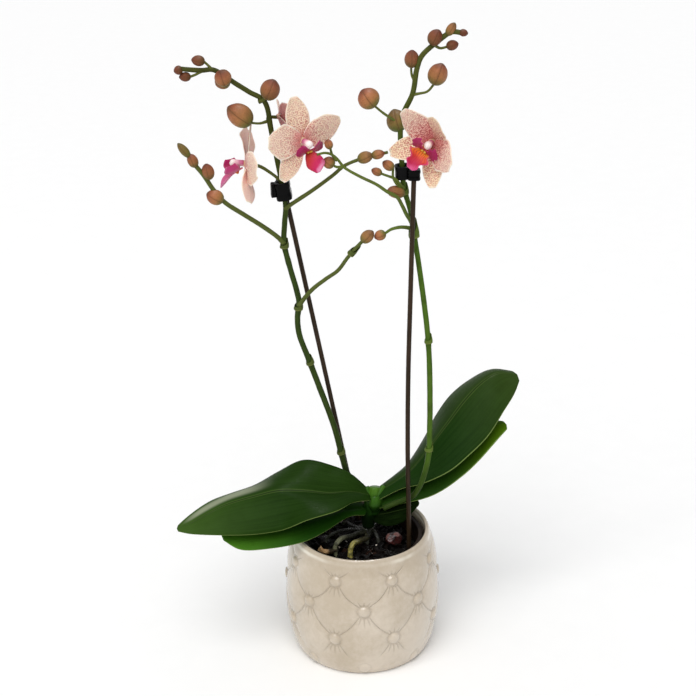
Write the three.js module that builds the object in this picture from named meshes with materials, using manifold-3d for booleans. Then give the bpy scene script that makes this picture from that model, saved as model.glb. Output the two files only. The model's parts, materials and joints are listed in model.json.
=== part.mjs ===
// Potted miniature moth orchid in a button-tufted ceramic pot.
// Millimetres, +Z up. The origin is the centre of the pot's foot, on the ground.
// The plant is seen from -Y, with +X to the viewer's right.

import * as THREE from 'three';
import { mergeVertices } from 'three/addons/utils/BufferGeometryUtils.js';
import Module from 'manifold-3d';

const wasm = await Module();
wasm.setup();

// Clearance between pieces that touch, the distance at which two corners are one, and the finest
// detail that a joined solid keeps.
const GAP = 0.3;
const WELD = 1e-4;
const SLIVER = 0.13;

// Ceramic pot: an elliptical belly below, a gentle taper above, and a rolled lip.
const FOOT_RADIUS = 48.5;
const BELLY_RADIUS = 57.4;
const BELLY_HEIGHT = 45;
const RIM_RADIUS = 50.2;
const RIM_HEIGHT = 97;
const POT_MOUTH_RADIUS = 47.5;
const POT_FLOOR = 6;

// Button tufting: rows of buttons at these heights, half a pitch out of step with each other.
const BUTTON_ROWS = [7.3, 33.2, 59, 80.7];
const BUTTONS_PER_ROW = 8;
const BUTTON_RADIUS = 5.2;
const BUTTON_HEIGHT = 1.4;
const BUTTON_SUNK = 1.5;
const BUTTON_OUTLINE = [[0, 0], [1, 0.55], [0.74, 0.88], [0, 1]];
const TUFT_STEPS = 2;
const POT_COLUMNS = 2 * BUTTONS_PER_ROW * TUFT_STEPS;
const TUFT_PUFF = 1;
const TUFT_FADE = 0.7;
const TUFT_TURN = THREE.MathUtils.degToRad(-88.8);

// Nursery pot inside the ceramic one, and the bark that fills it.
const CUP_BOTTOM = POT_FLOOR + GAP;
const CUP_BOTTOM_RADIUS = 35;
const CUP_TOP = 92;
const CUP_TOP_RADIUS = 43.6;
const CUP_LIP_RADIUS = 45.6;
const CUP_WALL = 1.2;
const CUP_LIP_DEPTH = 3;
const BARK_TOP = 81;
const BARK_CHIPS = 22;
const DRAIN_HOLES = 6;
const DRAIN_RADIUS = 3;
const DRAIN_CIRCLE = 22;

// Crown of the plant: rings of the short stem, as centre, half width in X and in Y.
const CROWN_RINGS = [
  { centre: [5, 8, 92], across: 4.4, deep: 4.4 },
  { centre: [5.5, 8, 100], across: 5.6, deep: 5 },
  { centre: [7, 8, 108], across: 6.6, deep: 5.2 },
  { centre: [9, 7.8, 116], across: 5, deep: 4.4 },
];
const CROWN_SIDES = 9;
const SHEATHS = [
  { radius: [5, 2.4], points: [[7.5, 8, 108], [6.4, 8.6, 117], [4.6, 9.6, 124.5]] },
  { radius: [5, 2.4], points: [[9, 8, 108], [12.4, 8.8, 117], [16.5, 10.5, 125]] },
];

// Leaves: matching points on the rib and on both edges, from the crown to the tip.
const LEAF_MIDDLE = 2.2;
const LEAF_EDGE = 0.9;
const LEAVES = {
  leaf_left_upper: {
    rows: 12,
    columns: 6,
    arch: 2.2,
    near: [[7, 1, 118], [-6, -13, 124], [-18, -29, 126], [-39, -37, 123.5], [-57, -34, 114],
      [-77, -36, 111.5], [-96, -36, 111], [-113, -34, 110.5], [-125, -31, 110], [-133.5, -28, 110.5]],
    rib: [[7, 6, 119], [-8, -2, 127], [-24, -8, 129], [-42, -11, 133], [-60, -13, 135], [-77, -15, 132],
      [-98, -18, 126.5], [-113, -21, 120], [-126, -24, 114], [-134.5, -26, 111.5]],
    far: [[6, 11, 121], [-8, 11, 135.5], [-22, 14, 141], [-42, 17, 144], [-61, 17, 134.5], [-80, 14, 124.5],
      [-97, 6, 122], [-111, -3, 121], [-124, -14, 117], [-134, -24, 112.5]],
  },
  leaf_left_lower: {
    rows: 8,
    columns: 6,
    arch: 1.8,
    near: [[3, 0, 106], [-8.5, -7, 109], [-26.5, -23, 106], [-44, -32, 102], [-66.5, -36, 99.5],
      [-88, -35, 98.5], [-101, -27, 102]],
    rib: [[4, 5, 108], [-10, 0, 111], [-30, -8, 111], [-48, -13, 110], [-68, -15, 108.5], [-88, -18, 106],
      [-102.5, -24, 104]],
    far: [[4, 10, 109], [-12, 10, 113], [-32, 12, 112], [-50, 13, 110], [-68, 11, 108], [-87, 2, 107],
      [-102, -20, 105]],
  },
  leaf_right_upper: {
    rows: 12,
    columns: 6,
    arch: 2,
    near: [[13, 3, 117], [30.5, 4.5, 125.5], [44, 5, 128.5], [65.5, 7, 138], [80.5, 12, 148.5],
      [95, 20, 160.5], [107, 32, 174.5], [116, 44, 183], [121, 56, 189]],
    rib: [[12, 8, 120], [28, 12, 129], [38, 18, 134], [55, 27, 153], [66, 33, 166], [78, 40, 180],
      [92, 47, 192.5], [104, 53, 197], [120, 60, 192]],
    far: [[12, 13, 121], [26, 24, 126.5], [36, 34, 131], [50, 51, 145.5], [58, 60, 158], [70, 68, 172],
      [86, 71, 184], [101, 69, 192.5], [117, 64, 193]],
  },
  leaf_right_lower: {
    rows: 8,
    columns: 6,
    arch: 1.6,
    near: [[10, 3, 109], [29, 5, 112], [48, 6.5, 116], [62.5, 10, 121.5], [78, 15, 131.5], [90, 20, 142],
      [102, 27, 153], [110.5, 34, 159.5]],
    rib: [[9, 9, 112], [28, 14, 119], [43, 21, 124], [57, 28, 131], [71, 35, 140.5], [85, 41, 151],
      [98, 43, 159], [110.5, 38, 161]],
    far: [[8, 13, 112], [24, 26, 118], [38, 36, 123], [50, 44, 129.5], [63, 53, 139], [77, 57, 148],
      [92, 55, 156], [109, 42, 161.5]],
  },
  leaf_right_small: {
    rows: 5,
    columns: 4,
    arch: 1.2,
    near: [[9, 4, 98], [17, -3, 98.5], [25, -4, 99.5], [32.5, -2, 102.5], [43, 4.5, 111.5]],
    rib: [[8, 8, 102], [17, 4, 104.5], [25, 3, 107], [34, 3, 109.5], [43.5, 6, 112.5]],
    far: [[8, 11, 102], [16, 13, 107.5], [25, 14, 110], [34, 12, 112], [43, 8, 113]],
  },
};

// Stems, as points from root to tip with the radius at both ends.
const SPIKE_LEFT = {
  radius: [2.35, 1.6],
  steps: 28,
  points: [[-1, 15, 106], [-3.5, 18, 113], [-7, 19.5, 123], [-11, 20, 133], [-19, 18, 170],
    [-29.5, 15, 205], [-37, 12.5, 229.5], [-42.5, 10, 248], [-43.5, 9, 261.5], [-42, 8.5, 273],
    [-43.5, 8, 283], [-47.5, 7, 300],
    [-51, 6, 318.5], [-50, 5, 334], [-49, 4.5, 346], [-53.5, 3, 378], [-56.5, 2, 397], [-60.5, 1, 418.5],
    [-70, 0, 425], [-78, -1, 430.5], [-92.5, -3, 440.5], [-100, -4, 440.5], [-113.5, -6, 442]],
};
const SPIKE_RIGHT = {
  radius: [2.1, 1.7],
  steps: 27,
  points: [[16.5, 0.8, 111.2], [24, 0.6, 115], [31.5, -0.5, 118.5], [37.5, -2, 122.5], [42.5, -3.5, 130.5],
    [46.5, -4.5, 143], [49.4, -5, 159], [50, -5, 182], [50, -4.5, 205], [49, -3, 240.5], [47, -2, 263],
    [41.5, 2, 305], [37.5, 4, 330], [36, 4, 341], [31.5, 2, 358], [30.5, 0.5, 370], [29, 0, 398.5],
    [30.5, -1, 408.5], [37, -3, 423.5], [39.5, -5, 439.5], [42.5, -6, 448], [53, -8, 458], [61.5, -10, 464],
    [68, -11, 463.5]],
};
const STAKE_LEFT = {
  radius: 1.7,
  points: [[4.6, 33.5, 44], [-2.4, 30.5, 84], [-46.8, 11, 338.5], [-58.2, 6, 404]],
};
const STAKE_RIGHT = {
  radius: 1.7,
  points: [[34.8, -9, 46], [35.1, -8.3, 92], [34.1, -7.2, 165], [34.4, -6, 222], [36, -4.8, 290],
    [38.2, -3.2, 376]],
};

// Open flowers: the middle of the tepals, where they face, where the top sepal points, the size, and
// where the lip and column point. Degrees say how far each tepal leans forwards, is twisted at its tip
// and swings round the heart.
const BLOOMS = {
  flower_left_front: {
    heart: [-35.5, -8, 393.6], facing: [0.53, -0.84, 0.05], top: [-0.17, 0, 1], size: 1,
    lipFacing: [0.5, -0.86, -0.08],
    lean: { top: -4, lowLeft: 4, lowRight: -62, right: 11, left: 8 },
    twist: { right: 26 },
    pedicel: { spike: 'left', points: [[-56, 2, 392], [-50, -0.5, 396], [-43, -3, 396.5]] },
  },
  flower_left_side: {
    heart: [-74.5, 6, 375], facing: [-0.985, -0.08, 0.06], top: [0.06, 0, 1], size: 1,
    lipFacing: [-0.985, -0.12, 0.06],
    lean: { top: -4, lowLeft: 4, lowRight: -3, right: -14, left: -4 },
    twist: { lowRight: 45, left: -30 },
    swing: { left: -22, right: -12 },
    pedicel: { spike: 'left', points: [[-52, 3.5, 364], [-58, 6.5, 368], [-65, 7, 372.5]] },
  },
  flower_left_back: {
    heart: [-51.8, 15, 405], facing: [0.93, 0.3, 0.2], top: [-0.3, 0, 1], size: 0.64,
    lipFacing: [0.93, 0.3, 0.2],
    lean: { top: 82, lowLeft: 10, lowRight: 10, right: 16, left: 16 },
    pedicel: { spike: 'left', points: [[-58, 1.7, 405], [-59, 6, 406], [-57.5, 11, 405.5]] },
  },
  flower_right_front: {
    heart: [49.3, -10, 392], facing: [-0.51, -0.84, 0.15], top: [0.55, -0.19, 0.81], size: 1,
    lipFacing: [-0.36, -0.93, 0],
    lean: { top: 44, lowLeft: 13, lowRight: 10, right: 28, left: 28 },
    twist: { left: -26, right: 20 },
    swing: { lowLeft: 10, right: -11 },
    pedicel: { spike: 'right', points: [[29.5, 0, 389], [38, 5, 391.5], [48, 5, 391.5], [53, -1, 391]] },
  },
};

// Five tepals: the three sepals lie behind the two broad petals.
const TEPAL_THICKNESS = 0.8;
const TEPALS = {
  top: { turn: 90, length: 30, width: 17, layer: -0.9, cup: 0.05, ruffle: 0, columns: 2 },
  lowLeft: { turn: 224, length: 30, width: 15, layer: -0.9, cup: 0.05, ruffle: 0, columns: 2 },
  lowRight: { turn: 316, length: 30, width: 15, layer: -0.9, cup: 0.05, ruffle: 0, columns: 2 },
  right: { turn: 16, length: 29, width: 22, layer: 0.9, cup: -0.02, ruffle: 0.8, columns: 4 },
  left: { turn: 164, length: 29, width: 22, layer: 0.9, cup: -0.02, ruffle: 0.8, columns: 4 },
};
const TEPAL_ROOT = 1.8;
const HUB_RADIUS = 3;

const COLOURS = {
  glaze: { color: 0xd2c7b4, roughness: 0.22, metalness: 0 },
  cup: { color: 0x1d1512, roughness: 0.35, metalness: 0 },
  bark: { color: 0x1f1610, roughness: 0.8, metalness: 0 },
  nugget: { color: 0x4a1f1c, roughness: 0.3, metalness: 0 },
  leaf: { color: 0x1f4a1a, roughness: 0.32, metalness: 0 },
  young: { color: 0x4f7a22, roughness: 0.4, metalness: 0 },
  root: { color: 0x8a8d5a, roughness: 0.55, metalness: 0 },
  stem: { color: 0x4a6a2a, roughness: 0.5, metalness: 0 },
  stake: { color: 0x3a211a, roughness: 0.5, metalness: 0 },
  clip: { color: 0x0b0b0c, roughness: 0.25, metalness: 0 },
  tepal: { color: 0xeac3ae, roughness: 0.55, metalness: 0 },
  lip: { color: 0xc81f64, roughness: 0.45, metalness: 0 },
  column: { color: 0xf3dce4, roughness: 0.45, metalness: 0 },
};

const at = (x, y, z) => new THREE.Vector3(x, y, z);

// A smooth curve through a row of points.
function route(points) {
  return new THREE.CatmullRomCurve3(points.map((point) => at(...point)), false, 'centripetal');
}

// A small generator with a fixed seed, so that every build lays the chips alike.
function seeded(seed) {
  let state = seed;
  return () => {
    state = (state * 1664525 + 1013904223) % 4294967296;
    return state / 4294967296;
  };
}

// Merges the corners that coincide and drops the triangles that this collapses.
function weld(geometry) {
  const bare = geometry.clone();
  bare.deleteAttribute('normal');
  bare.deleteAttribute('uv');
  const merged = mergeVertices(bare, WELD);
  const corners = merged.index.array;
  const kept = [];
  for (let i = 0; i < corners.length; i += 3) {
    const [a, b, c] = corners.slice(i, i + 3);
    if (a !== b && b !== c && c !== a) kept.push(a, b, c);
  }
  merged.setIndex(kept);
  return merged;
}

function solidOf(geometry) {
  const welded = weld(geometry);
  const mesh = new wasm.Mesh({
    numProp: 3,
    vertProperties: Float32Array.from(welded.attributes.position.array),
    triVerts: Uint32Array.from(welded.index.array),
  });
  return new wasm.Manifold(mesh);
}

// The mesh of a solid, without the slivers that joining leaves.
function geometryOf(solid) {
  const mesh = solid.simplify(SLIVER).getMesh();
  const geometry = new THREE.BufferGeometry();
  const positions = [];
  for (let i = 0; i < mesh.vertProperties.length; i += mesh.numProp) {
    positions.push(...mesh.vertProperties.slice(i, i + 3));
  }
  geometry.setAttribute('position', new THREE.Float32BufferAttribute(positions, 3));
  geometry.setIndex(Array.from(mesh.triVerts));
  geometry.computeVertexNormals();
  return geometry;
}

const join = (solids) => solids.reduce((whole, solid) => whole.add(solid));
const cut = (body, tools) => tools.reduce((rest, tool) => rest.subtract(tool), body);

// The largest of the bodies that a cut leaves.
function largest(solid) {
  const bodies = solid.decompose();
  return bodies.reduce((best, body) => (body.volume() > best.volume() ? body : best));
}

// A closed skin over rings of equally many corners, with a fan over each end. The rings turn
// counterclockwise about the way they advance; leansBack picks the other diagonal of a quad.
function loft(rings, leansBack = () => false) {
  const count = rings[0].length;
  const corners = rings.flat();
  const index = [];
  for (let row = 0; row + 1 < rings.length; row += 1) {
    for (let column = 0; column < count; column += 1) {
      const a = row * count + column;
      const b = row * count + (column + 1) % count;
      const [c, d] = [b + count, a + count];
      if (leansBack(row, column)) index.push(a, b, d, b, c, d);
      else index.push(a, b, c, a, c, d);
    }
  }
  const middle = (ring) => ring.reduce((sum, corner) => sum.add(corner), at(0, 0, 0)).divideScalar(count);
  const [foot, head] = [corners.length, corners.length + 1];
  const last = (rings.length - 1) * count;
  for (let column = 0; column < count; column += 1) {
    const next = (column + 1) % count;
    index.push(foot, next, column);
    index.push(head, last + column, last + next);
  }
  const all = [...corners, middle(rings[0]), middle(rings[rings.length - 1])];
  const geometry = new THREE.BufferGeometry().setFromPoints(all);
  geometry.setIndex(index);
  return geometry;
}

// A round stem along a curve, whose radius runs evenly from one end to the other; extra grows it all round.
function stem(curve, [rootRadius, tipRadius], sides, steps, extra = 0) {
  const frames = curve.computeFrenetFrames(steps);
  const rings = [];
  for (let step = 0; step <= steps; step += 1) {
    const overrun = extra * (Number(step === steps) - Number(step === 0));
    const centre = curve.getPointAt(step / steps).addScaledVector(frames.tangents[step], overrun);
    const radius = THREE.MathUtils.lerp(rootRadius, tipRadius, step / steps) + extra;
    const ring = [];
    for (let side = 0; side < sides; side += 1) {
      const turn = (2 * Math.PI * side) / sides;
      ring.push(centre.clone()
        .addScaledVector(frames.normals[step], radius * Math.cos(turn))
        .addScaledVector(frames.binormals[step], radius * Math.sin(turn)));
    }
    rings.push(ring);
  }
  return loft(rings);
}

// Turns a geometry that stands on +Y at the origin to stand at one point and aim at another.
function aim(geometry, from, to) {
  const reach = to.clone().sub(from).normalize();
  geometry.applyQuaternion(new THREE.Quaternion().setFromUnitVectors(at(0, 1, 0), reach));
  geometry.translate(from.x, from.y, from.z);
  return geometry;
}

// A turned body on the line between two points; its outline gives radius and way along.
function turned(outline, from, to, radius, sides) {
  const length = from.distanceTo(to);
  const points = outline.map(([r, along]) => new THREE.Vector2(r * radius, along * length));
  return aim(new THREE.LatheGeometry(points, sides), from, to);
}

const BUD_OUTLINE = [[0, 0], [0.78, 0.16], [1, 0.45], [0.68, 0.8], [0, 1]];
const COLLAR_OUTLINE = [[0, 0], [1, 0.1], [0.78, 1], [0, 1]];

const BIG_BUD = 4;

function bud({ base, tip, radius }) {
  return solidOf(turned(BUD_OUTLINE, at(...base), at(...tip), radius, radius > BIG_BUD ? 6 : 5));
}

function collar({ base, tip, radius }) {
  return solidOf(turned(COLLAR_OUTLINE, at(...base), at(...tip), radius, 5));
}

// A thin sheet about a middle surface, split into triangles alike on both faces.
// Rows run from its root to its tip and columns from side to side, with v from -1 to 1.
function sheet({ rows, columns, middle, thickness }) {
  const width = columns + 1;
  const place = (row, column) => middle(row / rows, (2 * column) / columns - 1);
  const front = [];
  const back = [];
  for (let row = 0; row <= rows; row += 1) {
    for (let column = 0; column <= columns; column += 1) {
      const along = place(Math.min(row + 1, rows), column).sub(place(Math.max(row - 1, 0), column));
      const across = place(row, Math.min(column + 1, columns)).sub(place(row, Math.max(column - 1, 0)));
      const half = thickness((2 * column) / columns - 1) / 2;
      const normal = along.cross(across).normalize().multiplyScalar(half);
      front.push(place(row, column).add(normal));
      back.push(place(row, column).sub(normal));
    }
  }
  const behind = front.length;
  const index = [];
  for (let row = 0; row < rows; row += 1) {
    for (let column = 0; column < columns; column += 1) {
      const a = row * width + column;
      const [b, c, d] = [a + width, a + width + 1, a + 1];
      index.push(a, b, c, a, c, d);
      index.push(behind + a, behind + c, behind + b, behind + a, behind + d, behind + c);
    }
  }
  const edge = [];
  for (let row = 0; row < rows; row += 1) edge.push(row * width);
  for (let column = 0; column < columns; column += 1) edge.push(rows * width + column);
  for (let row = rows; row > 0; row -= 1) edge.push(row * width + columns);
  for (let column = columns; column > 0; column -= 1) edge.push(column);
  edge.forEach((a, i) => {
    const b = edge[(i + 1) % edge.length];
    index.push(a, behind + a, behind + b, a, behind + b, b);
  });
  const geometry = new THREE.BufferGeometry().setFromPoints([...front, ...back]);
  geometry.setIndex(index);
  return geometry;
}

// Outside radius of the bare pot at a height.
function potRadius(z) {
  if (z < BELLY_HEIGHT) {
    const drop = (BELLY_HEIGHT - z) / BELLY_HEIGHT;
    return FOOT_RADIUS + (BELLY_RADIUS - FOOT_RADIUS) * Math.sqrt(1 - drop * drop);
  }
  const rise = (z - BELLY_HEIGHT) / (RIM_HEIGHT - BELLY_HEIGHT);
  return BELLY_RADIUS - (BELLY_RADIUS - RIM_RADIUS) * rise * rise;
}

// Height of a tufting row, where whole numbers are the rows of buttons.
function rowHeight(row) {
  const last = BUTTON_ROWS.length - 2;
  const below = Math.min(Math.max(Math.floor(row), 0), last);
  return THREE.MathUtils.lerp(BUTTON_ROWS[below], BUTTON_ROWS[below + 1], row - below);
}

// Puffed relief of the tufting: zero along the creases that cross at the buttons.
function tuft(place, row) {
  const top = BUTTON_ROWS.length - 1;
  const fade = 1 - THREE.MathUtils.smoothstep(row, top, top + TUFT_FADE);
  const crossing = Math.sin((Math.PI * (place + row)) / 2) * Math.sin((Math.PI * (place - row)) / 2);
  return fade * TUFT_PUFF * Math.sqrt(Math.abs(crossing));
}

function potPoint(place, radius, z) {
  const turn = TUFT_TURN + (Math.PI * place) / BUTTONS_PER_ROW;
  return at(radius * Math.cos(turn), radius * Math.sin(turn), z);
}

// The glazed shell: foot, tufted wall, rolled lip, inner wall and floor, with the buttons fused on.
function ceramicPot() {
  const topRow = BUTTON_ROWS.length - 1;
  const places = Array.from({ length: POT_COLUMNS }, (_, column) => column / TUFT_STEPS);
  const plain = (radius, z) => places.map((place) => potPoint(place, radius, z));
  const tufted = (row) => {
    const z = rowHeight(row);
    return places.map((place) => potPoint(place, potRadius(z) + tuft(place, row), z));
  };
  const wallRows = Array.from({ length: topRow * TUFT_STEPS + 2 }, (_, i) => i / TUFT_STEPS);
  const lipRadius = (RIM_RADIUS - POT_MOUTH_RADIUS) / 2;
  const rings = [
    plain(FOOT_RADIUS, 0),
    plain(potRadius(1.5), 2.2),
    ...wallRows.map(tufted),
    plain(potRadius(93), 93),
    plain(RIM_RADIUS - 0.3, RIM_HEIGHT - 1.2),
    plain(RIM_RADIUS - lipRadius, RIM_HEIGHT),
    plain(POT_MOUTH_RADIUS, RIM_HEIGHT - 1.2),
    plain(POT_MOUTH_RADIUS, 88),
    plain(BELLY_RADIUS - 4.5, BELLY_HEIGHT + 6),
    plain(BELLY_RADIUS - 5.5, BELLY_HEIGHT - 12),
    plain(FOOT_RADIUS - 1, POT_FLOOR + 3),
    plain(FOOT_RADIUS - 5, POT_FLOOR),
  ];
  const firstWall = 2;
  const leansBack = (ring, column) => {
    const row = (ring - firstWall + 0.5) / TUFT_STEPS;
    const place = (column + 0.5) / TUFT_STEPS;
    const rising = Math.abs(Math.sin((Math.PI * (place - row)) / 2));
    const falling = Math.abs(Math.sin((Math.PI * (place + row)) / 2));
    return falling < rising;
  };
  const buttons = [];
  for (let row = 0; row <= topRow; row += 1) {
    for (let i = 0; i < BUTTONS_PER_ROW; i += 1) buttons.push(button(2 * i + (row % 2), BUTTON_ROWS[row]));
  }
  return join([solidOf(loft(rings, leansBack)), ...buttons]);
}

// A low dome, square to the wall, whose hidden foot runs to a point in the wall.
function button(place, z) {
  const foot = potPoint(place, potRadius(z) - BUTTON_SUNK, z);
  const below = potPoint(place, potRadius(z - 1) - BUTTON_SUNK, z - 1);
  const side = at(-foot.y, foot.x, 0);
  const outward = side.cross(foot.clone().sub(below)).setLength(BUTTON_SUNK + BUTTON_HEIGHT);
  return solidOf(turned(BUTTON_OUTLINE, foot, foot.clone().add(outward), BUTTON_RADIUS, 6));
}

// Inside radius of the nursery pot at a height.
function cupInside(z) {
  const rise = (z - CUP_BOTTOM) / (CUP_TOP - CUP_BOTTOM);
  return THREE.MathUtils.lerp(CUP_BOTTOM_RADIUS, CUP_TOP_RADIUS, rise) - CUP_WALL;
}

// A turned body about the pot's axis, from points of radius and height.
function aboutAxis(points, segments) {
  const outline = points.map(([radius, z]) => new THREE.Vector2(radius, z));
  return new THREE.LatheGeometry(outline, segments).rotateX(Math.PI / 2);
}

function nurseryPot() {
  const lipFoot = CUP_TOP - CUP_LIP_DEPTH;
  const floor = CUP_BOTTOM + CUP_WALL;
  const shell = solidOf(aboutAxis([
    [0, CUP_BOTTOM], [CUP_BOTTOM_RADIUS, CUP_BOTTOM], [cupInside(lipFoot) + CUP_WALL, lipFoot],
    [CUP_LIP_RADIUS, lipFoot], [CUP_LIP_RADIUS, CUP_TOP], [cupInside(CUP_TOP), CUP_TOP],
    [cupInside(floor), floor], [0, floor],
  ], 32));
  const holes = [];
  for (let i = 0; i < DRAIN_HOLES; i += 1) {
    const turn = (2 * Math.PI * i) / DRAIN_HOLES;
    const hole = new THREE.CylinderGeometry(DRAIN_RADIUS, DRAIN_RADIUS, 4 * CUP_WALL, 6);
    hole.rotateX(Math.PI / 2);
    hole.translate(DRAIN_CIRCLE * Math.cos(turn), DRAIN_CIRCLE * Math.sin(turn), CUP_BOTTOM);
    holes.push(solidOf(hole));
  }
  return cut(shell, holes);
}

// The bark: a fill to the cup's wall, with tumbled chips over its top and holes for what stands in it.
function pottingBark(standing) {
  const random = seeded(17);
  const bottom = CUP_BOTTOM + CUP_WALL + GAP;
  const ceiling = CUP_TOP + 2;
  const inside = (top) => solidOf(aboutAxis([
    [0, bottom], [cupInside(bottom) - GAP, bottom], [cupInside(top) - GAP, top], [0, top],
  ], 30));
  const chips = [];
  const goldenTurn = Math.PI * (3 - Math.sqrt(5));
  for (let i = 0; i < BARK_CHIPS; i += 1) {
    const reach = 41 * Math.sqrt((i + 0.5) / BARK_CHIPS);
    const chip = new THREE.BoxGeometry(13 + 6 * random(), 9 + 4 * random(), 4 + 3 * random());
    chip.rotateX((random() - 0.5) * 0.9);
    chip.rotateY((random() - 0.5) * 0.9);
    chip.rotateZ(Math.PI * random());
    const turn = i * goldenTurn;
    chip.translate(reach * Math.cos(turn), reach * Math.sin(turn), BARK_TOP + 2 * random());
    chips.push(solidOf(chip));
  }
  const heap = join([inside(BARK_TOP), ...chips]).intersect(inside(ceiling));
  return largest(cut(heap, standing));
}

// A lump of bark that lies in its own seat in the fill.
function barkNugget(extra = 0) {
  const lump = new THREE.IcosahedronGeometry(1, 1);
  lump.scale(6.6 + extra, 5.6 + extra, 5.4 + extra);
  lump.rotateZ(0.4);
  lump.translate(24, -3.5, 87.5);
  return solidOf(lump);
}

// The short stem, with the two sheaths that part above it; extra widens it all round.
function crown(extra = 0) {
  const rings = CROWN_RINGS.map(({ centre, across, deep }, i) => {
    const end = Number(i === CROWN_RINGS.length - 1) - Number(i === 0);
    return Array.from({ length: CROWN_SIDES }, (_, side) => {
      const turn = (2 * Math.PI * side) / CROWN_SIDES;
      const offset = at((across + extra) * Math.cos(turn), (deep + extra) * Math.sin(turn), end * extra);
      return at(...centre).add(offset);
    });
  });
  const sheaths = SHEATHS.map(({ radius, points }) => solidOf(stem(route(points), radius, 7, 3, extra)));
  return join([solidOf(loft(rings)), ...sheaths]);
}

// A leaf between its two edges, arched a little on each side of the grooved rib.
function leaf({ rows, columns, arch, near, rib, far }) {
  const [nearEdge, middleRib, farEdge] = [near, rib, far].map(route);
  const middle = (u, v) => {
    const side = v < 0 ? nearEdge : farEdge;
    const point = middleRib.getPoint(u).lerp(side.getPoint(u), Math.abs(v));
    point.z += arch * Math.sin(Math.PI * u) * Math.sin(Math.PI * Math.abs(v));
    return point;
  };
  const thickness = (v) => THREE.MathUtils.lerp(LEAF_MIDDLE, LEAF_EDGE, Math.abs(v));
  return solidOf(sheet({ rows, columns, middle, thickness }));
}

// Roots: from under the crown, over the bark and into it, as root radius, tip radius and points.
const ROOTS = [
  {
    radius: [2, 1.7],
    points: [[3, 6, 88], [-3, 1, 89.5], [-8, -6.5, 92], [-14, -10.5, 93], [-18.5, -15.5, 91.5],
      [-20, -16.5, 86], [-19, -17, 80]],
  },
  {
    radius: [2.1, 1.9],
    points: [[5, 4, 88], [3, -7, 90], [-2, -15.5, 93.3], [-6.5, -19.5, 93], [-8.3, -22, 90],
      [-8.5, -24.5, 84], [-8.5, -25, 78]],
  },
  {
    radius: [1.5, 1.1],
    points: [[3, 9, 90], [-5, 9.5, 90.5], [-9, 14, 90.5], [-13, 21, 87], [-15, 24, 79]],
  },
  { radius: [1.4, 1.1], points: [[4, 7, 89], [-9, 5, 91], [-20, 0, 91], [-26, -4, 88.5], [-27, -9, 80]] },
  { radius: [2, 1.6], points: [[5.5, 6, 90], [5.5, 1, 90.5], [4, -4, 87.5], [3, -8, 79]] },
  { radius: [1.6, 1.3], points: [[7, 6, 90], [10, 1, 90.5], [12, -3, 87.5], [13.5, -7, 79]] },
  { radius: [1.6, 1.2], points: [[7, 10, 90], [14, 14, 91], [20, 20, 88], [22, 23, 79]] },
  { radius: [1.5, 1.2], points: [[5, 11, 90], [4, 18, 91], [10, 25, 87], [12, 28, 79]] },
];
const TORN_TIP = {
  radius: [1.3, 2.3],
  points: [[-19.5, -17, 86.5], [-22, -20, 87.5], [-26, -23, 88.5], [-31.5, -23.5, 92]],
};
const COLLAR = { radius: [4.2, 5], points: [[5, 8, 74], [5, 8, 84], [5, 8, 92 - GAP]] };

function aerialRoots(extra = 0) {
  const along = ({ radius, points }, sides, steps) => (
    solidOf(stem(route(points), radius, sides, steps, extra))
  );
  const roots = ROOTS.map((root) => along(root, 5, 5));
  return join([along(COLLAR, 8, 2), along(TORN_TIP, 5, 4), ...roots]);
}

function stake({ radius, points }, extra = 0) {
  return solidOf(stem(route(points), [radius, radius], 8, 7, extra));
}

function spikeStem({ radius, points, steps }, extra = 0) {
  return solidOf(stem(route(points), radius, 6, steps, extra));
}

// Side branches and their buds. A branch starts on the axis of the spike; a bud is base, tip and radius.
const BRANCHES_LEFT = [
  {
    radius: [1.7, 1.5],
    points: [[-51, 6, 318.5], [-56, 3.5, 324.5], [-66, 0, 333.5], [-77, -4, 342.5], [-89, -8, 352.5],
      [-95.5, -9.5, 361], [-102, -11, 372.5], [-108, -12, 381], [-113, -13, 390], [-116, -13.5, 393]],
  },
  {
    radius: [1.5, 1],
    points: [[-49, 4.5, 344], [-43, 1, 349], [-29.5, -3, 359], [-16, -5, 369.5], [-8.5, -6, 376],
      [1.5, -7, 380.5], [10.5, -8, 383], [20.5, -6.5, 385]],
  },
  {
    radius: [1.6, 1.2],
    points: [[-42, 8, 271.5], [-36, 3, 281], [-31, 1, 287], [-22, -2, 295], [-14, -4, 301.5],
      [-7.5, -6, 311], [-1.5, -8, 319], [4, -9, 325]],
  },
  { radius: [1.3, 1.1], points: [[-64, 0.8, 418.5], [-61.5, 0, 419.5], [-58, -2.4, 422.5]] },
  { radius: [0.9, 0.8], points: [[-59, 1.5, 405], [-64, -2, 404.5], [-70, -4, 405.5]] },
  { radius: [0.9, 0.8], points: [[-93, -3, 440], [-95, -4, 443], [-98.5, -4, 446.5]] },
  { radius: [0.9, 0.8], points: [[-99, -4, 440.5], [-104, -5, 438], [-108, -5, 436.5]] },
];
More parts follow.
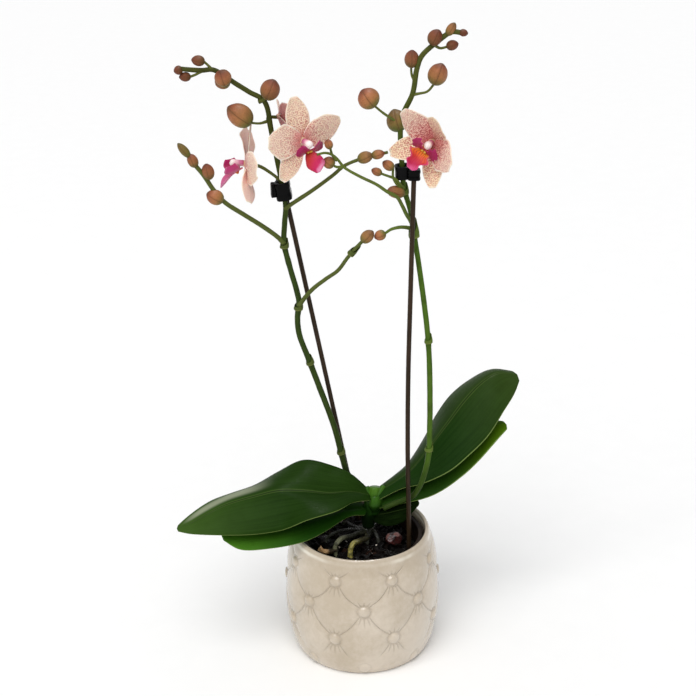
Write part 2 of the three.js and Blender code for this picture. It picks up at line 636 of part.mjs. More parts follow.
const BUDS_LEFT = [
  { base: [-59, -2, 420.5], tip: [-53, -5, 434], radius: 6.2 },
  { base: [-69, -4, 404.8], tip: [-84.5, -4.5, 416.5], radius: 7.3 },
  { base: [-85, -4, 431.5], tip: [-87.5, -10, 441], radius: 5.4 },
  { base: [-83, -2, 433], tip: [-92, 3.5, 431], radius: 5 },
  { base: [-97.5, -4, 446], tip: [-106.5, -4, 447.5], radius: 3.4 },
  { base: [-112, -6, 441.8], tip: [-118, -6, 440.5], radius: 2.9 },
  { base: [-107, -5, 436.7], tip: [-115, -5, 436.5], radius: 3 },
  { base: [-90, -8.5, 353.5], tip: [-100.5, -11.5, 360], radius: 5 },
  { base: [-97.8, -10, 369], tip: [-100, -12, 380.5], radius: 4 },
  { base: [-106.5, -12, 378], tip: [-110.5, -12.5, 387.5], radius: 3.4 },
  { base: [-110, -12.6, 385], tip: [-117.5, -13.6, 395], radius: 2.7 },
  { base: [0.5, -7, 380], tip: [10.5, -10, 384.5], radius: 3.9 },
  { base: [9.5, -8.5, 383], tip: [18.5, -9.5, 385.5], radius: 3.1 },
  { base: [2.5, -9, 323.5], tip: [10.4, -9.8, 331.6], radius: 4 },
];
const COLLARS_LEFT = [
  { base: [-14.3, 19.3, 148], tip: [-15.8, 19, 155], radius: 2.9 },
  { base: [-35.2, 13.1, 224], tip: [-37.3, 12.4, 231], radius: 2.7 },
  { base: [-42.6, 8.7, 268], tip: [-42.4, 8.4, 276], radius: 2.9 },
  { base: [-50.8, 6, 315], tip: [-51, 5.9, 322], radius: 2.8 },
  { base: [-5.5, -6.7, 313.7], tip: [0.5, -8.4, 321.5], radius: 2.7 },
];
const BRANCHES_RIGHT = [
  {
    radius: [1.4, 0.8],
    points: [[37, 4, 333], [33.5, 0.5, 339], [30, -4, 347.5], [26.5, -8, 354.5], [19.5, -11, 359.5],
      [13, -12, 364.5], [1, -13, 371], [-8.5, -13, 377], [-13, -14, 383], [-16.5, -16, 386.5],
      [-21, -19, 388.5], [-26, -21, 388]],
  },
  {
    radius: [1.5, 0.9],
    points: [[37.7, 4, 328], [33, 0, 330.5], [28, -3.5, 331.8], [22, -6, 331], [18, -7.5, 328.5]],
  },
  {
    radius: [1.1, 0.8],
    points: [[31.8, 2, 357], [29, -2.5, 361.5], [25, -5, 366.5], [20, -6, 368.8], [15.5, -7, 370.8]],
  },
  { radius: [0.9, 0.8], points: [[29.4, 0, 402.5], [22.7, -3, 407], [17, -5, 411.5], [12, -6, 416]] },
  { radius: [0.9, 0.8], points: [[37, -3, 422.5], [41.5, -4.5, 423.5], [46.5, -5.5, 425], [50.8, -6, 430]] },
  { radius: [0.9, 0.8], points: [[38.5, -4.2, 431.5], [36.4, -3.4, 435], [35.8, -3, 441]] },
  { radius: [0.9, 0.8], points: [[50, -7.5, 456], [54, -8.5, 453.5], [59, -9, 454.5]] },
  { radius: [0.9, 0.8], points: [[-13, -14, 382], [-16, -14.5, 385.5], [-17.5, -15.5, 391]] },
  { radius: [0.9, 0.8], points: [[-9, -13, 377.5], [-13, -13.5, 377.3], [-16, -13.5, 378.6]] },
  {
    radius: [0.9, 0.8],
    points: [[31.5, 1.5, 357.5], [27, -3.5, 361.5], [24, -5.5, 367.5], [24, -5.3, 373.8]],
  },
];
const BUDS_RIGHT = [
  { base: [12.3, -6, 415.5], tip: [3.5, -7, 427], radius: 7 },
  { base: [29, 2, 396.5], tip: [24.5, 6, 411], radius: 6.8 },
  { base: [36, -3, 440], tip: [36.5, -4.5, 452], radius: 4.6 },
  { base: [50.3, -6, 429.3], tip: [56, -7, 443.5], radius: 6.2 },
  { base: [48.5, -7.3, 455.5], tip: [53.5, -10, 465.5], radius: 4.6 },
  { base: [58.5, -9.2, 461.6], tip: [63.5, -11, 470], radius: 2.9 },
  { base: [58, -9, 454.3], tip: [66, -9.5, 456.5], radius: 3.2 },
  { base: [66, -11, 464], tip: [71.8, -11.5, 463], radius: 2.3 },
  { base: [24.5, -5, 373], tip: [17, -5, 378.3], radius: 3.3 },
  { base: [16.5, -7, 370.3], tip: [9.5, -8, 373.8], radius: 2.7 },
  { base: [32, 1.8, 354], tip: [20, -5, 358.3], radius: 4.2 },
  { base: [-17.3, -15.3, 390], tip: [-19.5, -16, 396.8], radius: 2.7 },
  { base: [-15, -13.2, 378], tip: [-22.2, -12.6, 382.6], radius: 4 },
  { base: [19, -7, 329], tip: [11, -8, 326], radius: 3.5 },
];
const COLLARS_RIGHT = [
  { base: [49.5, -5, 162], tip: [49.8, -5, 169], radius: 2.7 },
  { base: [48.8, -2.8, 246], tip: [48.2, -2.5, 253], radius: 2.6 },
  { base: [38.8, 3.4, 322], tip: [36.7, 4.2, 336], radius: 3.6 },
  { base: [32.3, 2.4, 353.5], tip: [31.3, 1.8, 361.5], radius: 2.5 },
];

// Where the pedicel meets the back of a bloom.
function bloomBack({ heart, facing, size }) {
  const inward = at(...facing).normalize();
  return at(...heart).addScaledVector(inward, -(HUB_RADIUS * size + GAP + 0.1));
}

function flowerSpike(side, spike, branches, buds, collars) {
  const twig = ({ radius, points }) => solidOf(stem(route(points), radius, 5, points.length - 1));
  const pedicels = Object.values(BLOOMS).filter((bloom) => bloom.pedicel.spike === side).map((bloom) => {
    const points = [...bloom.pedicel.points, bloomBack(bloom).toArray()];
    return twig({ radius: [1, 1.2], points });
  });
  return join([
    spikeStem(spike),
    ...branches.map(twig),
    ...pedicels,
    ...buds.map(bud),
    ...collars.map(collar),
  ]);
}

// A snap clip: a loop round the spike and one round the stake, bridged by a web, with two finger tabs.
function clip(spike, stakeSpec, { z, height, loop, tab }) {
  const onCurve = (curve, level) => {
    const away = (point) => Math.abs(point.z - level);
    return curve.getSpacedPoints(200).reduce((best, point) => (away(point) < away(best) ? point : best));
  };
  const [stemLine, stakeLine] = [route(spike.points), route(stakeSpec.points)];
  const ends = (curve) => [onCurve(curve, z - height / 2), onCurve(curve, z + height / 2)];
  const loopOf = (curve, radius) => {
    const [low, high] = ends(curve);
    return solidOf(turned([[0, 0], [1, 0], [1, 1], [0, 1]], low, high, radius, 10));
  };
  const [middle, stakeMiddle] = [onCurve(stemLine, z), onCurve(stakeLine, z)];
  const block = (from, to, width, tall) => {
    const box = new THREE.BoxGeometry(width, from.distanceTo(to), tall);
    box.translate(0, from.distanceTo(to) / 2, 0);
    return solidOf(aim(box, from, to));
  };
  const tabs = tab.map(([x, y, turnZ]) => {
    const root = middle.clone();
    return block(root, root.clone().add(at(x, y, turnZ)), 1.8, height * 0.8);
  });
  const body = join([
    loopOf(stemLine, loop), loopOf(stakeLine, loop - 0.6), block(middle, stakeMiddle, 3, height * 0.9),
    ...tabs,
  ]);
  return largest(cut(body, [spikeStem(spike, GAP), stake(stakeSpec, GAP)]));
}

// The frame of a bloom: +Z out of its face and +Y to its top sepal.
function bloomFrame({ heart, facing, top, size }) {
  const outward = at(...facing).normalize();
  const right = at(...top).cross(outward).normalize();
  const up = outward.clone().cross(right);
  const frame = new THREE.Matrix4().makeBasis(right, up, outward);
  frame.scale(at(size, size, size));
  return frame.setPosition(at(...heart));
}

// One sepal or petal, from the heart outwards along its own turn.
function tepal({ turn, length, width, layer, cup, ruffle, columns }, leanDegrees, twistDegrees) {
  const angle = THREE.MathUtils.degToRad(turn);
  const half = (u) => (width / 2) * (0.12 * (1 - u) + Math.sin(Math.PI * (0.05 + 0.88 * u)) ** 0.8);
  const middle = (u, v) => {
    const lean = THREE.MathUtils.degToRad(leanDegrees) * Math.min(1, 0.55 + 0.6 * u);
    const along = (TEPAL_ROOT + (length - TEPAL_ROOT) * u) * Math.cos(lean);
    const twist = THREE.MathUtils.degToRad(twistDegrees) * Math.sin((Math.PI * u) / 2);
    const across = v * half(u) * Math.cos(twist);
    const wave = ruffle * v * v * u * Math.sin(5 * u + v) + v * half(u) * Math.sin(twist);
    const lift = layer + length * u * Math.sin(lean) + cup * width * v * v * u + wave;
    const [x, y] = [along * Math.cos(angle), along * Math.sin(angle)];
    return at(x - across * Math.sin(angle), y + across * Math.cos(angle), lift);
  };
  return solidOf(sheet({ rows: columns + 2, columns, middle, thickness: () => TEPAL_THICKNESS }));
}

function tepals({ lean, twist = {}, swing = {} }) {
  const hub = new THREE.SphereGeometry(HUB_RADIUS, 7, 5);
  hub.rotateX(Math.PI / 2);
  hub.scale(1, 1, 0.8);
  hub.translate(0, 0, -0.4);
  const blades = Object.entries(TEPALS).map(([place, spec]) => {
    const turn = spec.turn + (swing[place] ?? 0);
    return tepal({ ...spec, turn }, lean[place], twist[place] ?? 0);
  });
  return join([solidOf(hub), ...blades]);
}

// A blade along a curve in the bloom's frame, with its half widths from root to tip.
function blade(points, halfWidths, spread, curl, rows, columns) {
  const line = route(points);
  const widths = new THREE.SplineCurve(halfWidths.map((half, i) => new THREE.Vector2(i, half)));
  const middle = (u, v) => {
    const half = widths.getPoint(u).y;
    return line.getPoint(u).addScaledVector(spread, v * half).addScaledVector(curl, v * v * half);
  };
  return solidOf(sheet({ rows, columns, middle, thickness: () => TEPAL_THICKNESS }));
}

// The lip: a keeled middle lobe, a lobe at each side of the column, and the callus between them.
function lip() {
  const middleLobe = blade(
    [[0, -2.9, 2.2], [0, -5.2, 6], [0, -8.2, 10], [0, -12.7, 13.5], [0, -17, 17]],
    [1.2, 2, 5.4, 6.8, 1.2], at(1, 0, 0), at(0, 0.2, 0.3), 5, 4,
  );
  const sideLobe = (hand) => blade(
    [[hand * 0.6, -5.2, 6.5], [hand * 4, -4.8, 8.2], [hand * 6.8, -2.6, 9.6], [hand * 8, 1, 10.6]],
    [2, 3.8, 5, 2.8], at(-0.6 * hand, 0.62, 0.5), at(0, 0.1, 0.15), 3, 2,
  );
  const callus = new THREE.SphereGeometry(1, 6, 4);
  callus.scale(2.2, 1.6, 2.2);
  callus.translate(0, -5.2, 7.2);
  return join([middleLobe, sideLobe(-1), sideLobe(1), solidOf(callus)]);
}

const COLUMN_OUTLINE = [[0, 0], [0.8, 0], [0.85, 0.55], [1, 0.75], [0.75, 0.95], [0, 1]];
const column = () => solidOf(turned(COLUMN_OUTLINE, at(0, 0.4, 2.3), at(0, 0.2, 11.5), 2.7, 8));

const orchid = new THREE.Group();

function show(name, solid, finish) {
  const mesh = new THREE.Mesh(geometryOf(solid), new THREE.MeshStandardMaterial(COLOURS[finish]));
  mesh.name = name;
  orchid.add(mesh);
}

show('ceramic_pot', ceramicPot(), 'glaze');
show('nursery_pot', nurseryPot(), 'cup');
show('potting_bark', pottingBark([
  aerialRoots(GAP), stake(STAKE_LEFT, GAP), stake(STAKE_RIGHT, GAP), barkNugget(GAP),
]), 'bark');
show('bark_nugget', barkNugget(), 'nugget');
show('aerial_roots', cut(aerialRoots(), [crown(GAP)]), 'root');
show('crown', crown(), 'young');
Object.entries(LEAVES).forEach(([name, spec]) => {
  show(name, largest(cut(leaf(spec), [crown(GAP)])), 'leaf');
});
show('stake_left', stake(STAKE_LEFT), 'stake');
show('stake_right', stake(STAKE_RIGHT), 'stake');
show('spike_left', flowerSpike('left', SPIKE_LEFT, BRANCHES_LEFT, BUDS_LEFT, COLLARS_LEFT), 'stem');
show('spike_right', flowerSpike('right', SPIKE_RIGHT, BRANCHES_RIGHT, BUDS_RIGHT, COLLARS_RIGHT), 'stem');
show('clip_left', clip(SPIKE_LEFT, STAKE_LEFT, {
  z: 357, height: 12, loop: 4.4, tab: [[-8, -3, 0], [-8.5, 2, 0]],
}), 'clip');
show('clip_right', clip(SPIKE_RIGHT, STAKE_RIGHT, {
  z: 369.5, height: 9, loop: 4.2, tab: [[-4.8, -1.5, 0], [-4.5, 2.5, 0]],
}), 'clip');
Object.entries(BLOOMS).forEach(([name, bloom]) => {
  const lipFrame = bloomFrame({ ...bloom, facing: bloom.lipFacing });
  const placed = (solid, frame) => solidOf(geometryOf(solid).applyMatrix4(frame));
  show(`${name}_tepals`, placed(tepals(bloom), bloomFrame(bloom)), 'tepal');
  show(`${name}_lip`, placed(lip(), lipFrame), 'lip');
  show(`${name}_column`, placed(column(), lipFrame), 'column');
});

export default orchid;
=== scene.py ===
"""Looks of a potted miniature moth orchid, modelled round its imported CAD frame.

Sizes are written in millimetres and laid down in metres. The origin is the centre of the pot's
foot, on the ground. The plant is seen from -Y, with +X to the viewer's right.
"""

import json
import logging
import math
import random
from collections.abc import Callable, Sequence
from dataclasses import dataclass, field, replace
from enum import Enum
from functools import cached_property

import bmesh
import bpy
from mathutils import Matrix, Vector, noise

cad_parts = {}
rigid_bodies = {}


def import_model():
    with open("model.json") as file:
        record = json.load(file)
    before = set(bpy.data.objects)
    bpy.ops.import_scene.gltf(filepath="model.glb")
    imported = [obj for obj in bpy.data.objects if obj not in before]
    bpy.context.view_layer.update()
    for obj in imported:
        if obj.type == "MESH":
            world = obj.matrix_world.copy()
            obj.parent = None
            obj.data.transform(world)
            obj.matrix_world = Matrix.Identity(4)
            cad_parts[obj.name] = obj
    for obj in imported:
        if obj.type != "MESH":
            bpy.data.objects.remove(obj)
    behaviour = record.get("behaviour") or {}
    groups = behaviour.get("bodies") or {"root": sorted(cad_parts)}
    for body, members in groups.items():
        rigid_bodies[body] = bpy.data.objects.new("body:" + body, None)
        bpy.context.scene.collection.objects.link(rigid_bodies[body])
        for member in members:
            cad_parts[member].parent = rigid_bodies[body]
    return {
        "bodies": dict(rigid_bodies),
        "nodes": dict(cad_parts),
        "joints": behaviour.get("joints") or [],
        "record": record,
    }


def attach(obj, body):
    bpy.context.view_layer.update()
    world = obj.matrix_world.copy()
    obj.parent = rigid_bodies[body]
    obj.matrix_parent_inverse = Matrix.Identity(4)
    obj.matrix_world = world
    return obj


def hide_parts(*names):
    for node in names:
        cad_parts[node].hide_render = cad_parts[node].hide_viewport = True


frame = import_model()

LOG = logging.getLogger("orchid")
MM = 0.001

Triple = tuple[float, float, float]
Place = Callable[[float, float], Vector]
Reach = Callable[[float, float], float]
Stops = tuple[tuple[float, str], ...]
Wiring = dict[str, object]

# Millimetres to one step of the tufting's coordinates: across the wall, up it, and square to a crease.
TUFT_WIDE = 11.2
TUFT_TALL = 13.0
CREASE_SPACING = 17.0


def blend(low: float, high: float, share: float) -> float:
    """Gives the value a share of the way from low to high."""
    return low + (high - low) * share


def ease(low: float, high: float, value: float) -> float:
    """Rises smoothly from 0 at low to 1 at high."""
    share = min(max((value - low) / (high - low), 0.0), 1.0)
    return share * share * (3 - 2 * share)


def bell(distance: float, width: float) -> float:
    """A soft bump of height 1 round zero."""
    return math.exp(-((distance / width) ** 2))


def around(one: Vector, other: Vector, share: float) -> Vector:
    """Gives the way that lies a share of a full turn from one direction towards another."""
    return one * math.cos(2 * math.pi * share) + other * math.sin(2 * math.pi * share)


def tint(code: str) -> tuple[float, ...]:
    """Turns a written colour into the linear one that shaders use.

    Args:
        code: The colour as six hexadecimal digits.

    Returns:
        The linear red, green and blue, and a full alpha.
    """
    parts = [int(code[i:i + 2], 16) / 255 for i in (0, 2, 4)]
    return (*[p / 12.92 if p <= 0.04045 else ((p + 0.055) / 1.055) ** 2.4 for p in parts], 1.0)


@dataclass(frozen=True)
class Route:
    """A smooth curve through points, with corners eased by their distance apart."""

    points: tuple[Triple, ...]

    @cached_property
    def knots(self) -> list[Vector]:
        """The points, with one more beyond each end."""
        inner = [Vector(point) for point in self.points]
        return [2 * inner[0] - inner[1], *inner, 2 * inner[-1] - inner[-2]]

    def at(self, share: float) -> Vector:
        """Gives the point at a share of the way, counted in spans between points.

        Args:
            share: From 0 at the first point to 1 at the last.

        Returns:
            The point in millimetres.
        """
        spans = len(self.points) - 1
        span = min(int(share * spans), spans - 1)
        rest = share * spans - span
        p0, p1, p2, p3 = self.knots[span:span + 4]
        d0, d1, d2 = [(b - a).length ** 0.5 or 1.0 for a, b in ((p0, p1), (p1, p2), (p2, p3))]
        out = ((p1 - p0) / d0 - (p2 - p0) / (d0 + d1) + (p2 - p1) / d1) * d1
        into = ((p2 - p1) / d1 - (p3 - p1) / (d1 + d2) + (p3 - p2) / d2) * d1
        bend = 3 * (p2 - p1) - 2 * out - into
        turn = 2 * (p1 - p2) + out + into
        return p1 + out * rest + bend * rest ** 2 + turn * rest ** 3

    @cached_property
    def traced(self) -> list[tuple[float, Vector]]:
        """Close points of the curve, each with the length walked so far."""
        steps = 24 * (len(self.points) - 1)
        walked, last, out = 0.0, self.at(0), []
        for step in range(steps + 1):
            here = self.at(step / steps)
            walked += (here - last).length
            out.append((walked, here))
            last = here
        return out

    @property
    def length(self) -> float:
        """The length of the curve in millimetres."""
        return self.traced[-1][0]

    def stations(self, count: int) -> list[tuple[Vector, Vector, Vector]]:
        """Gives frames spaced evenly along the curve, which turn as little as they can.

        Args:
            count: The number of steps between the first frame and the last.

        Returns:
            The centre and two directions across, for each station.
        """
        centres, spot = [], 0
        for step in range(count + 1):
            goal = self.length * step / count
            while spot < len(self.traced) - 2 and self.traced[spot + 1][0] < goal:
                spot += 1
            (low, start), (high, end) = self.traced[spot], self.traced[spot + 1]
            centres.append(start.lerp(end, min(max((goal - low) / max(high - low, 1e-9), 0), 1)))
        out, across = [], None
        for step, centre in enumerate(centres):
            ahead = (centres[min(step + 1, count)] - centres[max(step - 1, 0)]).normalized()
            across = ahead.orthogonal() if across is None else across
            across = (across - ahead * across.dot(ahead)).normalized()
            out.append((centre, across, ahead.cross(across)))
        return out

    def nearest(self, point: Triple) -> float:
        """Gives how far along the curve, as a share of its length, it passes closest to a point."""
        goal = Vector(point)
        return min(self.traced, key=lambda pair: (pair[1] - goal).length)[0] / self.length

    def level(self, height: float) -> Vector:
        """Gives the point of the curve at a height."""
        return min(self.traced, key=lambda pair: abs(pair[1].z - height))[1]


class Bench:
    """Places the nodes of one shader tree and wires them."""

    def __init__(self, tree: bpy.types.NodeTree) -> None:
        """Takes the tree that the nodes go into."""
        self.tree = tree

    def feed(self, socket: bpy.types.NodeSocket, value: object) -> None:
        """Fills a socket.

        Args:
            socket: The input.
            value: A signal to wire in, a constant, or a colour written in six digits.
        """
        if isinstance(value, Signal):
            self.tree.links.new(value.socket, socket)
        else:
            socket.default_value = tint(value) if isinstance(value, str) else value

    def node(self, kind: str, given: dict[int | str, object], output: int | str = 0,
             **settings: object) -> "Signal":
        """Adds a node.

        Args:
            kind: The node's type.
            given: What goes into its inputs.
            output: Which output is wanted.
            **settings: What the node itself is set to.

        Returns:
            The wanted output.
        """
        made = self.tree.nodes.new(kind)
        for name, value in settings.items():
            setattr(made, name, value)
        for place, value in given.items():
            self.feed(made.inputs[place], value)
        return Signal(self, made.outputs[output])

    def number(self, operation: str, first: object, second: object = 0.0) -> "Signal":
        """Works one or two numbers into a new one."""
        return self.node("ShaderNodeMath", {0: first, 1: second}, operation=operation)

    def colour(self, factor: object, low: object, high: object, mode: str = "MIX") -> "Signal":
        """Mixes two colours."""
        return self.node("ShaderNodeMix", {0: factor, 6: low, 7: high}, 2, data_type="RGBA", blend_type=mode)

    def ramp(self, factor: "Signal", stops: Stops) -> "Signal":
        """Turns a number into a colour.

        Args:
            factor: The number, from 0 to 1.
            stops: The colours and where each one stands.

        Returns:
            The colour.
        """
        made = self.node("ShaderNodeValToRGB", {0: factor})
        elements = made.socket.node.color_ramp.elements
        while len(elements) < len(stops):
            elements.new(0.5)
        for element, (where, code) in zip(elements, stops):
            element.position = where
            element.color = tint(code)
        return made

    def attribute(self, name: str) -> "Signal":
        """Reads a number that the mesh carries."""
        return self.node("ShaderNodeAttribute", {}, "Fac", attribute_name=name)

    def coordinates(self, kind: str = "Object") -> "Signal":
        """Reads Object or UV coordinates."""
        return self.node("ShaderNodeTexCoord", {}, kind)

    def split(self, where: object) -> tuple["Signal", ...]:
        """Takes a vector apart."""
        made = self.node("ShaderNodeSeparateXYZ", {0: where})
        return tuple(Signal(self, part) for part in made.socket.node.outputs)

    def joined(self, across: object, along: object) -> "Signal":
        """Makes a vector of two numbers."""
        return self.node("ShaderNodeCombineXYZ", {0: across, 1: along})

    def stretch(self, where: object, scale: Triple) -> "Signal":
        """Scales a vector along its axes."""
        return self.node("ShaderNodeVectorMath", {0: where, 1: scale}, operation="MULTIPLY")

    def grain(self, where: object, scale: object, detail: float = 3.0, roughness: float = 0.55) -> "Signal":
        """Gives the value of a noise texture."""
        given = {"Vector": where, "Scale": scale, "Detail": detail, "Roughness": roughness}
        return self.node("ShaderNodeTexNoise", given)

    def relief(self, height: object, depth: float, strength: float = 1.0, under: object = None) -> "Signal":
        """Turns a height into a normal.

        Args:
            height: The height, from 0 to 1.
            depth: How deep it is, in millimetres.
            strength: How much of it shows.
            under: A coarser normal under it.

        Returns:
            The normal.
        """
        given = {"Strength": strength, "Distance": depth * MM, "Height": height}
        if under is not None:
            given["Normal"] = under
        return self.node("ShaderNodeBump", given)

    def use(self, group: bpy.types.NodeTree, **given: object) -> dict[str, "Signal"]:
        """Places a node group and gives its outputs by name."""
        made = self.node("ShaderNodeGroup", given, node_tree=group)
        return {socket.name: Signal(self, socket) for socket in made.socket.node.outputs}


@dataclass(frozen=True)
class Signal:
    """A number, colour or vector on its way through a shader tree."""

    bench: Bench
    socket: bpy.types.NodeSocket

    def __add__(self, other: object) -> "Signal":
        """Adds a number."""
        return self.bench.number("ADD", self, other)

    def __sub__(self, other: object) -> "Signal":
        """Takes a number away."""
        return self.bench.number("SUBTRACT", self, other)

    def __rsub__(self, other: float) -> "Signal":
        """Takes this number away from a constant."""
        return self.bench.number("SUBTRACT", other, self)

    def __mul__(self, other: object) -> "Signal":
        """Multiplies by a number."""
        return self.bench.number("MULTIPLY", self, other)

    def __abs__(self) -> "Signal":
        """Drops the sign."""
        return self.bench.number("ABSOLUTE", self)

    def most(self, other: object) -> "Signal":
        """Gives the larger of two numbers."""
        return self.bench.number("MAXIMUM", self, other)

    def least(self, other: object) -> "Signal":
        """Gives the smaller of two numbers."""
        return self.bench.number("MINIMUM", self, other)

    def fold(self, size: float) -> "Signal":
        """Folds a number to and fro between 0 and a size."""
        return self.bench.number("PINGPONG", self, size)

    def span(self, low: float, high: float, start: object = 0.0, end: object = 1.0) -> "Signal":
        """Maps a number smoothly from low..high to start..end."""
        given = dict(enumerate((self, low, high, start, end)))
        return self.bench.node("ShaderNodeMapRange", given, interpolation_type="SMOOTHSTEP")

    def toward(self, other: object, share: object) -> "Signal":
        """Moves this colour a share of the way to another."""
        return self.bench.colour(share, self, other)

    def dyed(self, other: object) -> "Signal":
        """Multiplies this colour by another."""
        return self.bench.colour(1.0, self, other, "MULTIPLY")


Taken = dict[str, Signal]


class Sort(Enum):
    """What a socket of a node group carries."""

    NUMBER = "NodeSocketFloat"
    COLOUR = "NodeSocketColor"
    PLACE = "NodeSocketVector"


def effect(name: str, takes: dict[str, Sort], gives: dict[str, Sort],
           wire: Callable[[Bench, Taken], Wiring]) -> bpy.types.NodeTree:
    """Builds a shader effect once and finds it again after that.

    Args:
        name: The group's name.
        takes: Its inputs.
        gives: Its outputs.
        wire: Makes the outputs' values from the inputs'.

    Returns:
        The node group.
    """
    found = bpy.data.node_groups.get(name)
    if found:
        return found
    tree = bpy.data.node_groups.new(name, "ShaderNodeTree")
    for way, sockets in (("INPUT", takes), ("OUTPUT", gives)):
        for label, sort in sockets.items():
            tree.interface.new_socket(name=label, in_out=way, socket_type=sort.value)
    bench = Bench(tree)
    start, end = tree.nodes.new("NodeGroupInput"), tree.nodes.new("NodeGroupOutput")
    for label, value in wire(bench, {label: Signal(bench, start.outputs[label]) for label in takes}).items():
        bench.feed(end.inputs[label], value)
    return tree


def clouds() -> bpy.types.NodeTree:
    """Two tones that drift into each other, with finer flecks in them."""
    def wire(bench: Bench, takes: Taken) -> Wiring:
        """Wires the tones and flecks."""
        broad = bench.grain(takes["Where"], takes["Scale"], 2.0)
        fine = bench.grain(takes["Where"], takes["Scale"] * 11.0, 4.0, 0.7)
        value = (broad * 0.7 + fine * 0.3).span(0.36, 0.64)
        return {"Colour": takes["Dark"].toward(takes["Light"], value)}
    takes = {"Where": Sort.PLACE, "Scale": Sort.NUMBER, "Dark": Sort.COLOUR, "Light": Sort.COLOUR}
    return effect("clouds", takes, {"Colour": Sort.COLOUR}, wire)


def fibres() -> bpy.types.NodeTree:
    """Fine streaks that run along a piece, from its own UV map."""
    def wire(bench: Bench, takes: Taken) -> Wiring:
        """Wires the streaks."""
        across, along, _ = bench.split(takes["Where"])
        drawn = bench.joined(across * takes["Across"], along * takes["Along"])
        return {"Value": bench.grain(drawn, 1.0, 3.0).span(0.3, 0.7)}
    takes = {"Where": Sort.PLACE, "Across": Sort.NUMBER, "Along": Sort.NUMBER}
    return effect("fibres", takes, {"Value": Sort.NUMBER}, wire)


def vein_dots() -> bpy.types.NodeTree:
    """Veins that run from root to tip of a blade, and rows of small dots along them."""
    def wire(bench: Bench, takes: Taken) -> Wiring:
        """Wires the veins and the dots."""
        across, along, _ = bench.split(takes["Where"])
        lanes = (across + bench.grain(takes["Where"], 5.0, 2.0) * 0.09) * takes["Veins"]
        cells = bench.node("ShaderNodeTexVoronoi", {
            "Vector": bench.joined(lanes, along * takes["Rows"]), "Scale": 1.0, "Randomness": 0.62,
        }, "Distance", voronoi_dimensions="2D")
        size = bench.grain(takes["Where"], 9.0, 2.0).span(0.3, 0.7, 0.72, 1.15) * takes["Size"]
        return {"Vein": lanes.fold(0.5).span(0.0, 0.26, 1.0, 0.0), "Dot": (size - cells).span(-0.05, 0.08)}
    takes = {"Where": Sort.PLACE, "Veins": Sort.NUMBER, "Rows": Sort.NUMBER, "Size": Sort.NUMBER}
    return effect("vein_dots", takes, {"Vein": Sort.NUMBER, "Dot": Sort.NUMBER}, wire)


def tufting_lines() -> bpy.types.NodeTree:
    """Creases from button to button, and short pleats above and below each button.

    The two coordinates it reads are whole even numbers along the creases, and both are where a
    button sits.
    """
    def wire(bench: Bench, takes: Taken) -> Wiring:
        """Wires the creases and the pleats."""
        one, other, _ = bench.split(takes["Where"])
        off_one, off_other = (value - bench.number("ROUND", value * 0.5) * 2.0 for value in (one, other))
        side, tall = (off_one + off_other) * TUFT_WIDE, abs((off_one - off_other) * TUFT_TALL)
        reach = bench.number("SQRT", side * side + tall * tall)
        crease = (abs(off_one).least(abs(off_other)) * CREASE_SPACING).span(0.0, 0.7, 1.0, 0.0)
        lean = abs(bench.number("ARCTAN2", side, tall))
        pleat = (lean.fold(0.21) * reach).span(0.15, 0.7, 1.0, 0.0)
        pleat = pleat * lean.span(0.5, 0.56, 1.0, 0.0) * reach.span(8.0, 12.5, 1.0, 0.0)
        return {"Line": crease.most(pleat * 0.9) * reach.span(5.2, 6.0) * takes["Amount"]}
    return effect("tufting_lines", {"Where": Sort.PLACE, "Amount": Sort.NUMBER}, {"Line": Sort.NUMBER}, wire)


def mottled(bench: Bench, scale: float, dark: str, light: str) -> Signal:
    """Gives two tones that drift into each other over a piece."""
    return bench.use(clouds(), Where=bench.coordinates(), Scale=scale, Dark=dark, Light=light)["Colour"]


def streaks(bench: Bench, across: float, along: float) -> Signal:
    """Gives fine streaks that run along a piece."""
    return bench.use(fibres(), Where=bench.coordinates("UV"), Across=across, Along=along)["Value"]


@dataclass(frozen=True)
class Finish:
    """A finish of the plant, its pots or the stage. Its material is made once, under its name."""

    name: str

    def material(self) -> bpy.types.Material:
        """Makes the material, or finds it again."""
        found = bpy.data.materials.get(self.name)
        if found:
            return found
        made = bpy.data.materials.new(self.name)
        made.use_nodes = True
        tree = made.node_tree
        tree.nodes.clear()
        shader, end = tree.nodes.new("ShaderNodeBsdfPrincipled"), tree.nodes.new("ShaderNodeOutputMaterial")
        tree.links.new(shader.outputs["BSDF"], end.inputs["Surface"])
        bench = Bench(tree)
        for label, value in self.paint(bench).items():
            bench.feed(shader.inputs[label], value)
        return made

    def paint(self, bench: Bench) -> Wiring:
        """Wires the finish.

        Args:
            bench: The bench of its shader tree.

        Returns:
            What goes into the shader's inputs, by their names.
        """
        raise NotImplementedError


@dataclass(frozen=True)
class Paper(Finish):
    """The matt pale paper that the pot stands on."""

    def paint(self, bench: Bench) -> Wiring:
        """Wires the faint fibre of the paper."""
        tone = bench.colour(bench.grain(bench.coordinates(), 40.0, 3.0), "f8f7f5", "fbfaf8")
        return {"Base Color": tone, "Roughness": 0.9, "Specular IOR Level": 0.1}


